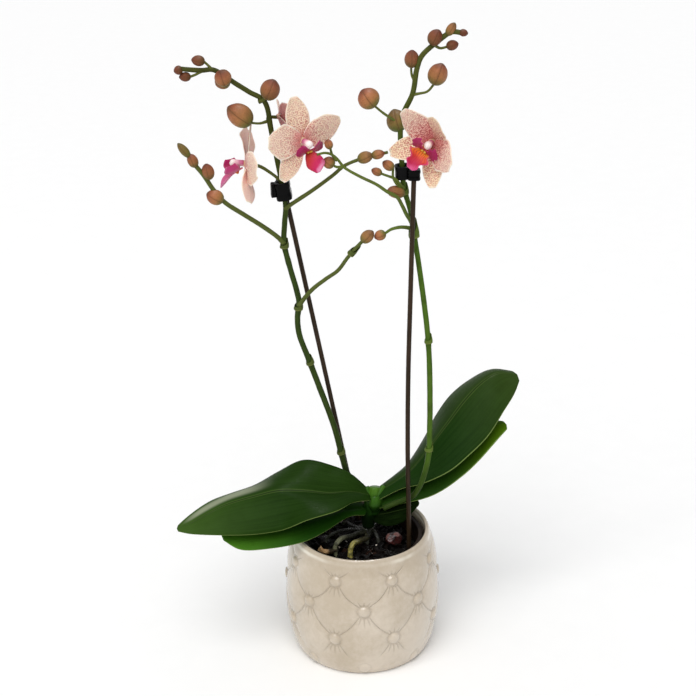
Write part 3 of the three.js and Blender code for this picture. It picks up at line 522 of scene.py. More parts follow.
@dataclass(frozen=True)
class Glaze(Finish):
    """Warm greige glaze, with painted shade in its creases and round its buttons, and a painted highlight
    just under the lip.
    """

    light: str = "cfc2b0"
    dark: str = "b9aa94"
    # Colour of the painted shade in the creases and round the buttons, and of the darkening towards the lip.
    painted_shade: str = "8f7e66"
    # Colour of the painted highlight just under the lip.
    lip_highlight: str = "ece6d6"

    def paint(self, bench: Bench) -> Wiring:
        """Wires tone, painted shade in the creases and round the buttons, darkening towards the lip, a
        painted highlight band under the lip, gloss and the lines of the tufting.
        """
        where = bench.coordinates()
        height = bench.split(where)[2]
        drawn = bench.use(tufting_lines(), Where=bench.coordinates("UV"), Amount=bench.attribute("tufted"))
        line = drawn["Line"]
        # Painted shade: darker along the crease lines and where the relief's shade layer marks the creases
        # and the gutters round the buttons; also darker towards the lip.
        darkening = (line * 0.3).most(bench.attribute("painted_shade")).most(height.span(0.082, 0.09, 0.0, 0.12))
        # Painted highlight: a pale broken band just under the lip, where the rim's gloss would catch the
        # light.
        highlight_band = height.span(0.0915, 0.0935, 0.0, 1.1) * height.span(0.0942, 0.0954, 1.0, 0.0)
        highlight_band = highlight_band * bench.grain(where, 28.0, 2.0).span(0.44, 0.58, 0.1, 0.7)
        tone = mottled(bench, 16.0, self.dark, self.light)
        pressed = bench.relief(line * -1.0, 0.42, 0.85)
        return {
            "Base Color": tone.toward(self.painted_shade, darkening).toward(self.lip_highlight, highlight_band),
            "Roughness": bench.grain(where, 60.0, 3.0).span(0.3, 0.7, 0.14, 0.26),
            "Coat Weight": 0.6,
            "Coat Roughness": 0.07,
            "Normal": bench.relief(bench.grain(where, 420.0, 2.0), 0.12, 0.25, pressed),
        }


@dataclass(frozen=True)
class Plastic(Finish):
    """Dark moulded plastic with faint scuffs."""

    dark: str = "040404"
    light: str = "0a0a0b"
    gloss: float = 0.16

    def paint(self, bench: Bench) -> Wiring:
        """Wires tone, scuffs and gloss."""
        scuff = bench.grain(bench.stretch(bench.coordinates(), (900.0, 900.0, 160.0)), 1.0, 3.0)
        return {
            "Base Color": mottled(bench, 90.0, self.dark, self.light),
            "Roughness": scuff.span(0.35, 0.75, self.gloss, self.gloss + 0.16),
            "Specular IOR Level": 0.08,
            "Normal": bench.relief(scuff, 0.05, 0.4),
        }


@dataclass(frozen=True)
class BarkFinish(Finish):
    """Wet dark bark, from nearly black to red brown, with pale grit among it."""

    def paint(self, bench: Bench) -> Wiring:
        """Wires chip tone, fibre and damp gloss."""
        where = bench.coordinates()
        tone = bench.ramp(bench.attribute("tone"), (
            (0.0, "050303"), (0.5, "0d0806"), (0.8, "1a100b"), (0.93, "2c1a11"), (1.0, "d2ccc0"),
        ))
        fibre = bench.grain(bench.stretch(where, (700.0, 240.0, 900.0)), 1.0, 4.0, 0.65)
        return {
            "Base Color": tone.toward(tone.dyed("a58d76"), fibre.span(0.35, 0.7, 0.0, 0.75)),
            "Roughness": bench.grain(where, 130.0, 2.0).span(0.42, 0.62, 0.25, 0.9),
            "Specular IOR Level": 0.1,
            "Normal": bench.relief(fibre, 0.8, 0.8),
        }


@dataclass(frozen=True)
class NuggetFinish(Finish):
    """A glossy red-brown lump of bark with paler broken faces."""

    def paint(self, bench: Bench) -> Wiring:
        """Wires the broken faces and their gloss."""
        where = bench.coordinates()
        cells = bench.node("ShaderNodeTexVoronoi", {"Vector": where, "Scale": 260.0}, "Color")
        tone = bench.ramp(bench.split(cells)[0], (
            (0.0, "150705"), (0.45, "2c110e"), (0.85, "45201e"), (1.0, "87605a"),
        ))
        fibre = bench.grain(bench.stretch(where, (500.0, 1200.0, 500.0)), 1.0, 4.0)
        return {
            "Base Color": tone.toward("2c1412", fibre.span(0.4, 0.8, 0.0, 0.7)),
            "Roughness": fibre.span(0.3, 0.7, 0.15, 0.5),
            "Normal": bench.relief(fibre, 0.4, 0.7),
        }


@dataclass(frozen=True)
class RootFinish(Finish):
    """Spongy root skin: dark, silver grey, tan or fresh green by the root's tone."""

    def paint(self, bench: Bench) -> Wiring:
        """Wires skin tone, streaks along the root, pale flecks and the shade under the crown."""
        where, along = bench.coordinates(), bench.split(bench.coordinates("UV"))[1]
        tone = bench.ramp(bench.attribute("tone"), (
            (0.0, "17130e"), (0.3, "55584c"), (0.55, "8b8c6c"), (0.8, "c79f70"), (1.0, "989744"),
        ))
        streak = streaks(bench, 26.0, 9.0)
        fleck = bench.grain(where, 900.0, 3.0)
        skin = tone.toward(tone.dyed("7f7668"), streak * 0.6)
        skin = skin.toward("cfcdb4", fleck.span(0.62, 0.74, 0.0, 0.4))
        skin = skin.toward("2a2a18", bench.grain(where, 260.0, 3.0).span(0.5, 0.62, 0.0, 0.7))
        return {
            "Base Color": skin.toward("12120c", along.span(0.46, 0.66, 0.92, 0.0)),
            "Roughness": fleck.span(0.3, 0.7, 0.16, 0.4),
            "Specular IOR Level": 0.3,
            "Normal": bench.relief(streak + fleck, 0.25, 0.6),
        }


@dataclass(frozen=True)
class YoungGreen(Finish):
    """Bright young sheath, darker towards its foot."""

    def paint(self, bench: Bench) -> Wiring:
        """Wires tone, ribs along the sheath and gloss."""
        tone = bench.ramp(bench.attribute("tone"), (
            (0.0, "0a1a06"), (0.4, "18380a"), (0.7, "345c16"), (1.0, "628e2c"),
        ))
        rib = streaks(bench, 24.0, 1.5)
        return {
            "Base Color": tone.toward(tone.dyed("9fae6a"), rib * 0.35),
            "Roughness": bench.grain(bench.coordinates(), 350.0, 3.0).span(0.3, 0.7, 0.28, 0.42),
            "Specular IOR Level": 0.1,
            "Normal": bench.relief(rib, 0.15, 0.4),
        }


@dataclass(frozen=True)
class LeafFinish(Finish):
    """Glossy fleshy leaf: its two halves, its tip and its thin pale margin."""

    near: str
    far: str
    tip: str
    margin: str = "8ea45a"
    under: bool = False
    # How strongly the painted reflection strip shows on the far half.
    painted_reflection: float = 0.0
    gloss: float = 0.02

    def paint(self, bench: Bench) -> Wiring:
        """Wires the halves, a painted reflection strip, a painted shadow line along the midrib with a painted
        highlight beside it, faint veins, mottling and gloss.
        """
        where = bench.coordinates()
        across, along, _ = bench.split(bench.coordinates("UV"))
        halves = bench.colour(across.span(0.42, 0.56), self.near, self.far)
        skin = halves.toward(self.tip, along.span(0.4, 1.0))
        cloudy = bench.grain(where, 45.0, 4.0, 0.6)
        skin = skin.toward(skin.dyed("c9cfa8"), cloudy.span(0.3, 0.75, 0.0, 0.5))
        vein = streaks(bench, 46.0, 3.0)
        skin = skin.toward("466a2c", vein * 0.08)
        # Painted reflection: a pale grey strip on the far half towards the tip.
        length = along.span(0.45, 0.62) * along.span(0.82, 0.97, 1.0, 0.0)
        reflection_band = across.span(0.55, 0.66) * across.span(0.74, 0.9, 1.0, 0.0)
        skin = skin.toward("9aa085", length * reflection_band * self.painted_reflection)
        # Painted highlight along both sides of the midrib groove, and a painted shadow line in it.
        middle = abs(across - 0.5)
        skin = skin.toward("7f9a50", middle.span(0.016, 0.03, 0.16, 0.0))
        skin = skin.toward("0c1c08", middle.span(0.006, 0.018, 0.7, 0.0))
        fine = bench.grain(where, 500.0, 3.0)
        dull = 0.12 * self.under
        return {
            "Base Color": skin.toward(self.margin, middle.span(0.49, 0.499, 0.0, 0.55)),
            "Roughness": fine.span(0.3, 0.7, 0.32 + dull, 0.45 + dull),
            "Specular IOR Level": self.gloss,
            "Normal": bench.relief(vein + fine, 0.1, 0.35, bench.relief(cloudy, 0.8, 0.35)),
        }


@dataclass(frozen=True)
class StemFinish(Finish):
    """Flower stem: mid green below, browner towards the tip, with olive branches and pale scales."""

    low: str = "293b15"
    high: str = "45451f"
    foot: str = "141e0a"

    def paint(self, bench: Bench) -> Wiring:
        """Wires the change with height, the scales, streaks and sheen."""
        where = bench.coordinates()
        height = bench.split(where)[2]
        skin = bench.colour(height.span(0.3, 0.47), self.low, self.high)
        skin = skin.toward(self.foot, height.span(0.115, 0.17, 0.9, 0.0))
        blotch = bench.grain(where, 70.0, 4.0, 0.65)
        skin = skin.toward("20270f", blotch.span(0.45, 0.72, 0.0, 0.5))
        skin = skin.toward("868a4a", bench.attribute("tone"))
        streak = streaks(bench, 16.0, 30.0)
        return {
            "Base Color": skin.toward("7c8c40", streak * 0.12),
            "Roughness": blotch.span(0.3, 0.7, 0.36, 0.5),
            "Specular IOR Level": 0.05,
            "Normal": bench.relief(streak + blotch, 0.12, 0.5),
        }


@dataclass(frozen=True)
class BudFinish(Finish):
    """Closed bud: brown-orange skin over olive, with painted shade along the seams of its sepals."""

    dusk: str = "56261c"
    fresh: str = "4a5e24"

    def paint(self, bench: Bench) -> Wiring:
        """Wires the change from base to tip, painted shade along the seams, freckles and sheen."""
        where, tone = bench.coordinates(), bench.attribute("tone")
        across, along, _ = bench.split(bench.coordinates("UV"))
        drift = bench.grain(where, 110.0, 4.0, 0.6)
        skin = bench.ramp(along + (drift - 0.5) * 0.3, (
            (0.0, "55622a"), (0.2, "776a34"), (0.42, "a47044"),
            (0.7, "aa6c48"), (0.9, "8a4e38"), (1.0, "5a3424"),
        ))
        skin = skin.toward("7a5a34", drift.span(0.42, 0.7, 0.0, 0.6))
        skin = skin.toward(self.dusk, tone.span(0.0, 1.0, 0.0, 0.8))
        skin = skin.toward(self.fresh, tone.span(-1.0, 0.0, 1.0, 0.0))
        skin = skin.toward("6a3a28", bench.grain(where, 1300.0, 2.0).span(0.56, 0.68, 0.0, 0.4))
        # Painted shade: a darker band beside each seam and a darker line in it.
        beside = (across * 3.0).fold(0.5)
        seam = beside.span(0.0, 0.03, 0.55, 0.0)
        streak = streaks(bench, 30.0, 3.0)
        return {
            "Base Color": skin.toward("6d4a2a", beside.span(0.0, 0.16, 0.3, 0.0)).toward("43281a", seam),
            "Roughness": drift.span(0.3, 0.7, 0.42, 0.55),
            "Specular IOR Level": 0.16,
            "Normal": bench.relief(streak - seam * 2.0, 0.18, 0.5),
        }


@dataclass(frozen=True)
class CaneFinish(Finish):
    """Dark brown support cane with a dull gloss."""

    def paint(self, bench: Bench) -> Wiring:
        """Wires streaks along the cane and its gloss."""
        streak = streaks(bench, 18.0, 22.0)
        tone = mottled(bench, 60.0, "1d140e", "30231a")
        return {
            "Base Color": tone.toward("4a3a24", streak * 0.4),
            "Roughness": streak.span(0.2, 0.8, 0.26, 0.46),
            "Specular IOR Level": 0.12,
            "Normal": bench.relief(streak, 0.1, 0.5),
        }


@dataclass(frozen=True)
class TepalFinish(Finish):
    """Cream petal flushed pink at its root, with fine wine dots in rows along its veins."""

    cream: str
    flush: str
    dots: str
    veins: float
    rows: float
    dot_size: float
    dotted: float
    flushed: float = 0.6

    def paint(self, bench: Bench) -> Wiring:
        """Wires the flush, veins, dots, plain margin and soft sheen."""
        place = bench.coordinates("UV")
        across, along, _ = bench.split(place)
        drift = bench.grain(bench.coordinates(), 90.0, 3.0)
        skin = bench.colour((along + drift * 0.35).span(0.1, self.flushed), self.flush, self.cream)
        side = abs(across - 0.5) * 2.0
        margin = side.span(0.84, 0.98).most(along.span(0.93, 1.0))
        marks = bench.use(vein_dots(), Where=place, Veins=self.veins, Rows=self.rows, Size=self.dot_size)
        plain = 1.0 - margin * 0.85
        shown = along.span(0.1, 0.95, self.dotted, self.dotted * 0.62)
        skin = skin.toward("d99a8c", marks["Vein"] * 0.1 * plain)
        skin = skin.toward(self.dots, marks["Dot"] * shown * plain)
        return {
            "Base Color": skin.toward("f7ead9", margin * 0.6),
            "Roughness": drift.span(0.3, 0.7, 0.45, 0.6),
            "Sheen Weight": 0.15,
            "Subsurface Weight": 0.12,
            "Subsurface Scale": 0.002,
            "Normal": bench.relief(marks["Vein"] + marks["Dot"], 0.12, 0.45),
        }


@dataclass(frozen=True)
class LipFinish(Finish):
    """Magenta lip, from its root to its tip by the given stops, with fine darker stripes."""

    stops: Stops
    edge: str
    slant: float = 0.0
    striped: float = 0.3
    veins: float = 18.0

    def paint(self, bench: Bench) -> Wiring:
        """Wires the stops, stripes, paler margin and sheen."""
        place = bench.coordinates("UV")
        across, along, _ = bench.split(place)
        drift = bench.grain(bench.coordinates(), 200.0, 3.0)
        skin = bench.ramp(along + (drift - 0.5) * 0.25 + (across - 0.5) * self.slant, self.stops)
        skin = skin.toward(self.edge, (abs(across - 0.5) * 2.0).span(0.72, 1.0, 0.0, 0.6))
        vein = bench.use(vein_dots(), Where=place, Veins=self.veins, Rows=16.0, Size=0.3)["Vein"]
        stripes = along.span(0.35, 0.65, self.striped, min(self.striped, 0.3))
        return {
            "Base Color": skin.toward("7d1032", vein * stripes),
            "Roughness": drift.span(0.3, 0.7, 0.32, 0.48),
            "Specular IOR Level": 0.2,
            "Sheen Weight": 0.05,
            "Normal": bench.relief(vein, 0.15, 0.5),
        }


def stand(name: str, data: bpy.types.ID) -> bpy.types.Object:
    """Makes an object of its data and puts it in the scene."""
    made = bpy.data.objects.new(name, data)
    bpy.context.scene.collection.objects.link(made)
    return made


def solid(name: str, shape: bmesh.types.BMesh, finishes: Sequence[Finish]) -> bpy.types.Object:
    """Makes an object of a mesh under construction.

    Args:
        name: The object's name.
        shape: The mesh, which is used up.
        finishes: One for each material number in the mesh.

    Returns:
        The new object.
    """
    mesh = bpy.data.meshes.new(name)
    shape.to_mesh(mesh)
    shape.free()
    for finish in finishes:
        mesh.materials.append(finish.material())
    return stand(name, mesh)


def thicken(piece: bpy.types.Object, thickness: float, back: int = 0) -> None:
    """Gives a thin sheet its thickness and softens it.

    Args:
        piece: The sheet.
        thickness: In millimetres, shared between its two sides.
        back: How many materials further the back side takes.
    """
    wall = piece.modifiers.new("thickness", "SOLIDIFY")
    wall.thickness = thickness * MM
    wall.offset = 0
    wall.material_offset = back
    soft = piece.modifiers.new("softness", "SUBSURF")
    soft.levels = soft.render_levels = 1


def crisp(piece: bpy.types.Object, degrees: float) -> None:
    """Smooths a piece's faces, but not across edges sharper than an angle."""
    piece.data.shade_smooth()
    piece.data.set_sharp_from_angle(angle=math.radians(degrees))


def lathe(shape: bmesh.types.BMesh, corners: Sequence[bmesh.types.BMVert], columns: int) -> None:
    """Joins the corners of a section and spins it round the upright axis.

    Args:
        shape: The mesh that holds them.
        corners: The section, from the middle of the underside to the middle of the floor.
        columns: Cells round it.
    """
    edges = [shape.edges.new(pair) for pair in zip(corners, corners[1:])]
    bmesh.ops.spin(shape, geom=[*corners, *edges], cent=(0, 0, 0), axis=(0, 0, 1), dvec=(0, 0, 0),
                   angle=2 * math.pi, steps=columns, use_merge=True)
    bmesh.ops.remove_doubles(shape, verts=shape.verts, dist=1e-6)
    bmesh.ops.recalc_face_normals(shape, faces=shape.faces)


@dataclass(frozen=True)
class Spot:
    """Where a finished mesh belongs: the CAD node it stands for and the record's material slot."""

    node: str
    slot: str

    def settle(self, name: str, shape: bmesh.types.BMesh, finishes: Sequence[Finish]) -> bpy.types.Object:
        """Makes a mesh under construction a piece of the plant.

        Args:
            name: The piece's name.
            shape: The mesh, which is used up.
            finishes: One for each material number in the mesh.

        Returns:
            The new piece.
        """
        piece = solid(name, shape, finishes)
        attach(piece, "root")
        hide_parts(self.node)
        LOG.info("%s: %d faces", name, len(piece.data.polygons))
        return piece


@dataclass
class Weave:
    """A mesh under construction, to which grids are added and moved to their place."""

    shape: bmesh.types.BMesh = field(default_factory=bmesh.new)

    def __post_init__(self) -> None:
        """Opens the layers that the finishes read."""
        self.uv = self.shape.loops.layers.uv.verify()
        self.tone = self.shape.verts.layers.float.new("tone")

    def grid(self, columns: int, rows: int, place: Place, tone: float = 0.0, finish: int = 0,
             closed: bool = False, front: Vector | None = None) -> list[bmesh.types.BMVert]:
        """Adds a grid and moves its corners.

        Args:
            columns: Cells across.
            rows: Cells along.
            place: Gives a corner's place in millimetres from its shares along and across.
            tone: The number that the grid's corners carry.
            finish: Its material number.
            closed: True where its sides meet, or an end runs to a point.
            front: The way its faces look on the whole, where that matters.

        Returns:
            The grid's corners.
        """
        corners = bmesh.ops.create_grid(self.shape, x_segments=columns, y_segments=rows, size=1.0)["verts"]
        faces = list({face for corner in corners for face in corner.link_faces})
        for face in faces:
            face.material_index = finish
            face.smooth = True
            for loop in face.loops:
                loop[self.uv].uv = ((loop.vert.co.x + 1) / 2, (loop.vert.co.y + 1) / 2)
        for corner in corners:
            across, along = (corner.co.x + 1) / 2, (corner.co.y + 1) / 2
            corner[self.tone] = tone
            corner.co = place(along, across) * MM
        if closed:
            bmesh.ops.remove_doubles(self.shape, verts=corners, dist=1e-7)
            corners = [corner for corner in corners if corner.is_valid]
            faces = [face for face in faces if face.is_valid]
            bmesh.ops.recalc_face_normals(self.shape, faces=faces)
        if front is not None:
            for face in faces:
                face.normal_update()
            if sum(face.normal.dot(front) * face.calc_area() for face in faces) < 0:
                bmesh.ops.reverse_faces(self.shape, faces=faces)
        return corners

    def tube(self, route: Route, reach: Reach, sides: int, rings: int,
             tone: float = 0.0) -> list[bmesh.types.BMVert]:
        """Adds a closed tube along a route.

        Args:
            route: Its centre line.
            reach: Gives its radius from the shares along and round it.
            sides: Cells round it.
            rings: Cells along it.
            tone: The number that its corners carry.

        Returns:
            The tube's corners.
        """
        stations, rows = route.stations(rings), rings + 2

        def place(along: float, across: float) -> Vector:
            """Puts a corner on the tube, or on the middle of an end."""
            row = round(along * rows)
            station = min(max(row - 1, 0), rings)
            centre, one, other = stations[station]
            if row in (0, rows):
                return centre
            return centre + around(one, other, across) * reach(station / rings, across)

        return self.grid(sides, rows, place, tone, closed=True)

    def bevel(self, corners: Sequence[bmesh.types.BMVert], width: float,
              segments: int) -> list[bmesh.types.BMFace]:
        """Breaks the edges that meet at some corners.

        Args:
            corners: The corners.
            width: How wide the broken edges are, in millimetres.
            segments: Cells across them.

        Returns:
            The new faces.
        """
        edges = list({edge for corner in corners for edge in corner.link_edges})
        return bmesh.ops.bevel(self.shape, geom=edges, affect="EDGES", offset=width * MM, segments=segments,
                               profile=0.5, material=-1)["faces"]


@dataclass
class Studio:
    """The pale floor, the soft lights and the camera, which stands where the photograph's did."""

    eye: Triple = (0.0, -900.0, 625.6)
    focal_pixels: float = 1383.6
    frame_pixels: int = 696
    pitch: float = math.radians(23.1)
    yaw: float = math.radians(-0.51)
    roll: float = math.radians(-0.92)
    sensor: float = 36.0
    sight: float = 90.0
    floor_size: float = 36.0
    air: str = "f4f6fa"
    air_strength: float = 0.58

    def camera(self) -> None:
        """Stands the camera up."""
        data = bpy.data.cameras.new("camera")
        data.sensor_width = self.sensor
        data.lens = self.focal_pixels / self.frame_pixels * self.sensor
        data.clip_end = self.sight
        level = math.cos(self.pitch)
        ahead = Vector((math.sin(self.yaw) * level, math.cos(self.yaw) * level, -math.sin(self.pitch)))
        right = Matrix.Rotation(-self.roll, 3, ahead) @ Vector((math.cos(self.yaw), -math.sin(self.yaw), 0))
        axes = Matrix((right, right.cross(ahead), -ahead)).transposed().to_4x4()
        camera = stand("camera", data)
        camera.matrix_world = Matrix.Translation(Vector(self.eye) * MM) @ axes
        bpy.context.scene.camera = camera

    def lamp(self, name: str, place: Triple, aim: Triple, size: tuple[float, float], watts: float,
             glint: bool = False) -> None:
        """Hangs one soft box.

        Args:
            name: Its name.
            place: Where it hangs, in metres.
            aim: The point it faces, in metres.
            size: Its width and height in metres.
            watts: Its power.
            glint: Whether it shows only as a reflection.
        """
        data = bpy.data.lights.new(name, "AREA")
        data.shape = "RECTANGLE"
        data.size, data.size_y = size
        data.energy = watts
        lamp = stand(name, data)
        lamp.location = place
        lamp.rotation_euler = (Vector(aim) - Vector(place)).to_track_quat("-Z", "Y").to_euler()
        lamp.visible_diffuse = not glint

    def daylight(self, toward: Triple, strength: float, angle: float) -> None:
        """Adds the even light that falls on everything.

        Args:
            toward: The way from the object to the light.
            strength: Its power on a square metre.
            angle: How wide it looks, in degrees; wide light gives soft shadows.
        """
        data = bpy.data.lights.new("daylight", "SUN")
        data.energy = strength
        data.angle = math.radians(angle)
        stand("daylight", data).rotation_euler = Vector(toward).to_track_quat("Z", "Y").to_euler()

    def floor(self) -> None:
        """Lays the plain pale floor."""
        shape = bmesh.new()
        bmesh.ops.create_grid(shape, x_segments=2, y_segments=2, size=self.floor_size)
        solid("floor", shape, [Paper("floor_paper")])

    def build(self) -> None:
        """Sets the whole stage."""
        self.camera()
        self.floor()
        self.daylight((-0.15, -0.6, 1.0), 1.9, 48.0)
        self.lamp("window_left", (-1.3, -0.9, 1.5), (0.0, 0.0, 0.15), (0.3, 0.45), 2.4)
        self.lamp("window_top", (0.15, 0.5, 1.9), (0.0, 0.0, 0.1), (0.42, 0.3), 22.0, True)
        world = bpy.data.worlds.new("studio_air")
        world.use_nodes = True
        air = world.node_tree.nodes["Background"].inputs
        air["Color"].default_value = tint(self.air)
        air["Strength"].default_value = self.air_strength
        bpy.context.scene.world = world
        bpy.context.scene.view_settings.view_transform = "Standard"
        LOG.info("stage set")


@dataclass
class CeramicPot:
    """The glazed pot: tufted wall, rolled lip, inner wall and foot ring."""

    foot_radius: float = 48.5
    belly_radius: float = 57.4
    belly_height: float = 45.0
    rim_radius: float = 50.2
    rim_height: float = 97.0
    mouth_radius: float = 47.5
    floor_height: float = 6.0
    wall_low: float = 0.9
    wall_high: float = 94.6
    columns: int = 520
    wall_steps: int = 132
    rows: tuple[float, ...] = (7.3, 33.2, 59.0, 80.7)
    per_row: int = 8
    turn: float = math.radians(-88.8)
    tufted_from: float = 3.5
    tufted_to: float = 92.5
    puff: float = 1.0
    sag: float = 2.7
    button_radius: float = 4.75
    button_height: float = 1.6
    dimple: float = 8.0
    crease_depth: float = 0.26
    crease_width: float = 0.85
    gutter_depth: float = 0.5
    waver: float = 0.12

    def radius(self, z: float) -> float:
        """Gives the bare wall's radius at a height."""
        if z < self.belly_height:
            drop = (self.belly_height - z) / self.belly_height
            return blend(self.foot_radius, self.belly_radius, math.sqrt(max(1 - drop * drop, 0)))
        rise = (z - self.belly_height) / (self.rim_height - self.belly_height)
        return blend(self.belly_radius, self.rim_radius, rise * rise)

    def row(self, z: float) -> float:
        """Gives a height as a row of buttons, with whole numbers at the buttons."""
        below = max(sum(z >= height for height in self.rows) - 1, 0)
        below = min(below, len(self.rows) - 2)
        low, high = self.rows[below:below + 2]
        return below + (z - low) / (high - low)

    def lattice(self, turn: float, z: float) -> tuple[float, float]:
        """Gives the two crease coordinates of a point on the wall, with creases that sag between buttons."""
        place = (turn - self.turn) * self.per_row / math.pi
        row = self.row(z)
        away = math.sin(math.pi * (place + row) / 2) ** 2 + math.sin(math.pi * (place - row) / 2) ** 2
        row = self.row(z + self.sag * min(away, 1.0))
        return place + row, place - row

    def strength(self, z: float) -> float:
        """Gives how strongly the creases are pressed at a height: they fade below and by the lip."""
        row, last = self.row(z), len(self.rows) - 1
        return ease(0.3, 0.62, row) * (1 - ease(last + 0.2, last + 0.45, row))

    def relief(self, turn: float, z: float) -> tuple[float, float]:
        """Gives how far the tufted wall stands out at a point, and how much painted shade its creases and
        button gutters get.

        Args:
            turn: The angle round the pot.
            z: The height.

        Returns:
            The rise in millimetres, and a share of painted shade.
        """
        one, other = self.lattice(turn, z)
        off_one, off_other = one - 2 * round(one / 2), other - 2 * round(other / 2)
        reach = math.hypot(TUFT_WIDE * (off_one + off_other), TUFT_TALL * (off_one - off_other))
        last, row = len(self.rows) - 1, self.row(z)
        fade = (1 - ease(last + 0.15, last + 0.72, row)) * ease(-0.1, 0.75, row)
        near = CREASE_SPACING * min(abs(off_one), abs(off_other))
        crossing = abs(math.sin(math.pi * one / 2) * math.sin(math.pi * other / 2))
        pressed = self.strength(z) * ease(4.6, 6.5, reach)
        groove = self.crease_depth * bell(near, self.crease_width)
        height = fade * self.puff * crossing ** 0.75 - pressed * groove
        ring = 0.0
        if reach < self.dimple and row < last + 0.4:
            full = blend(0.5, 1.0, ease(0.2, 0.8, row))
            share = min(reach / self.button_radius, 1.0)
            dome = full * self.button_height * (1 - share ** 2.6) ** 0.75
            ring = full * bell(reach - self.button_radius - 0.35, self.crease_width)
            height = blend(dome, height, ease(4.9, self.dimple, reach)) - self.gutter_depth * ring
        # Painted shade in the gutter round each button and along the pressed creases.
        shade = 0.24 * ring + 0.07 * pressed * bell(near, 1.6)
        return height, min(shade, 1.0)

    def outline(self, shape: bmesh.types.BMesh) -> list[bmesh.types.BMVert]:
        """Draws the section from the underside's middle, out and up the wall, and down inside.

        Args:
            shape: The empty mesh that it goes into.

        Returns:
            Its corners in that order.
        """
        walls = shape.verts.layers.float.new("tufted")
        shape.verts.layers.float.new("painted_shade")
        rim, mouth, top, belly = self.rim_radius, self.mouth_radius, self.rim_height, self.belly_radius
        foot = [(0, 1.4), (42.5, 1.4), (44, 0.3), (45.5, 0), (47.6, 0)]
        steps = range(self.wall_steps + 1)
        heights = [blend(self.wall_low, self.wall_high, step / self.wall_steps) for step in steps]
        inside = [
            (rim - 0.05, top - 1.5), (rim - 0.3, top - 0.7),
            (rim - 0.85, top - 0.12), (rim - 1.35, top), (mouth + 0.75, top - 0.1), (mouth + 0.2, top - 0.6),
            (mouth, top - 1.6), (mouth, 88), (belly - 4.5, self.belly_height + 6),
            (belly - 5.5, self.belly_height - 12), (self.foot_radius - 1, self.floor_height + 3),
            (self.foot_radius - 5, self.floor_height), (0, self.floor_height),
        ]
        section = [*foot, *[(self.radius(z), z) for z in heights], *inside]
        corners = [shape.verts.new((r * MM, 0, z * MM)) for r, z in section]
        for corner in corners[len(foot):len(foot) + len(heights)]:
            corner[walls] = 1.0
        return corners

    def unwrap(self, shape: bmesh.types.BMesh) -> None:
        """Writes the crease coordinates into the UV map, with no jump inside a face.

        Args:
            shape: The spun pot.
        """
        uv = shape.loops.layers.uv.verify()
        for face in shape.faces:
            face.smooth = True
            first = None
            for loop in face.loops:
                spot = loop.vert.co
                turn = math.atan2(spot.y, spot.x)
                first = turn if first is None else first
                turn += 2 * math.pi * round((first - turn) / (2 * math.pi))
                loop[uv].uv = self.lattice(turn, spot.z / MM)

    def build(self) -> None:
        """Spins the section, raises the tufting and glazes it."""
        shape = bmesh.new()
        shape.loops.layers.uv.verify()
        lathe(shape, self.outline(shape), self.columns)
        self.unwrap(shape)
        walls, shade_layer = shape.verts.layers.float["tufted"], shape.verts.layers.float["painted_shade"]
        for corner in shape.verts:
            if corner[walls] < 0.5:
                continue
            spot = corner.co / MM
            turn = math.atan2(spot.y, spot.x)
            slope = (self.radius(spot.z + 0.4) - self.radius(max(spot.z - 0.4, 0.0))) / 0.8
            outward = Vector((math.cos(turn), math.sin(turn), -slope)).normalized()
            # Keeps the painted shade of the creases and button gutters on each corner.
            height, corner[shade_layer] = self.relief(turn, spot.z)
            edge = ease(self.wall_low, self.tufted_from, spot.z)
            edge *= 1 - ease(self.tufted_to, self.wall_high, spot.z)
            height = height * edge + self.waver * noise.noise(spot / 14)
            corner.co = (spot + outward * height) * MM
            corner[walls] = edge * self.strength(spot.z)
        Spot("ceramic_pot", "glaze").settle("pot_shell", shape, [Glaze("glaze_greige")])


@dataclass
class NurseryPot:
    """The thin dark grower's pot inside, with a rolled lip."""

    bottom: float = 6.3
    bottom_radius: float = 35.0
    top: float = 92.0
    top_radius: float = 43.6
    lip_radius: float = 45.6
    lip_depth: float = 3.0
    wall: float = 1.2
    columns: int = 120

    def inside(self, z: float) -> float:
        """Gives the inner radius at a height."""
        rise = (z - self.bottom) / (self.top - self.bottom)
        return blend(self.bottom_radius, self.top_radius, rise) - self.wall

    def build(self) -> None:
        """Spins the wall and its lip."""
        shape = bmesh.new()
        shape.loops.layers.uv.verify()
        lip, floor = self.top - self.lip_depth, self.bottom + self.wall
        section = [
            (0, self.bottom), (self.bottom_radius - 1, self.bottom), (self.bottom_radius, self.bottom + 1),
            (self.inside(lip) + self.wall, lip), (self.lip_radius - 0.4, lip), (self.lip_radius, lip + 0.4),
            (self.lip_radius, self.top - 0.6), (self.lip_radius - 0.6, self.top),
            (self.inside(self.top) + 0.5, self.top), (self.inside(self.top), self.top - 0.5),
            (self.inside(60), 60), (self.inside(floor), floor), (0, floor),
        ]
        lathe(shape, [shape.verts.new((r * MM, 0, z * MM)) for r, z in section], self.columns)
        finish = Plastic("cup_plastic", "17100d", "2c211b", 0.3)
        crisp(Spot("nursery_pot", "cup").settle("nursery_pot_shell", shape, [finish]), 35)


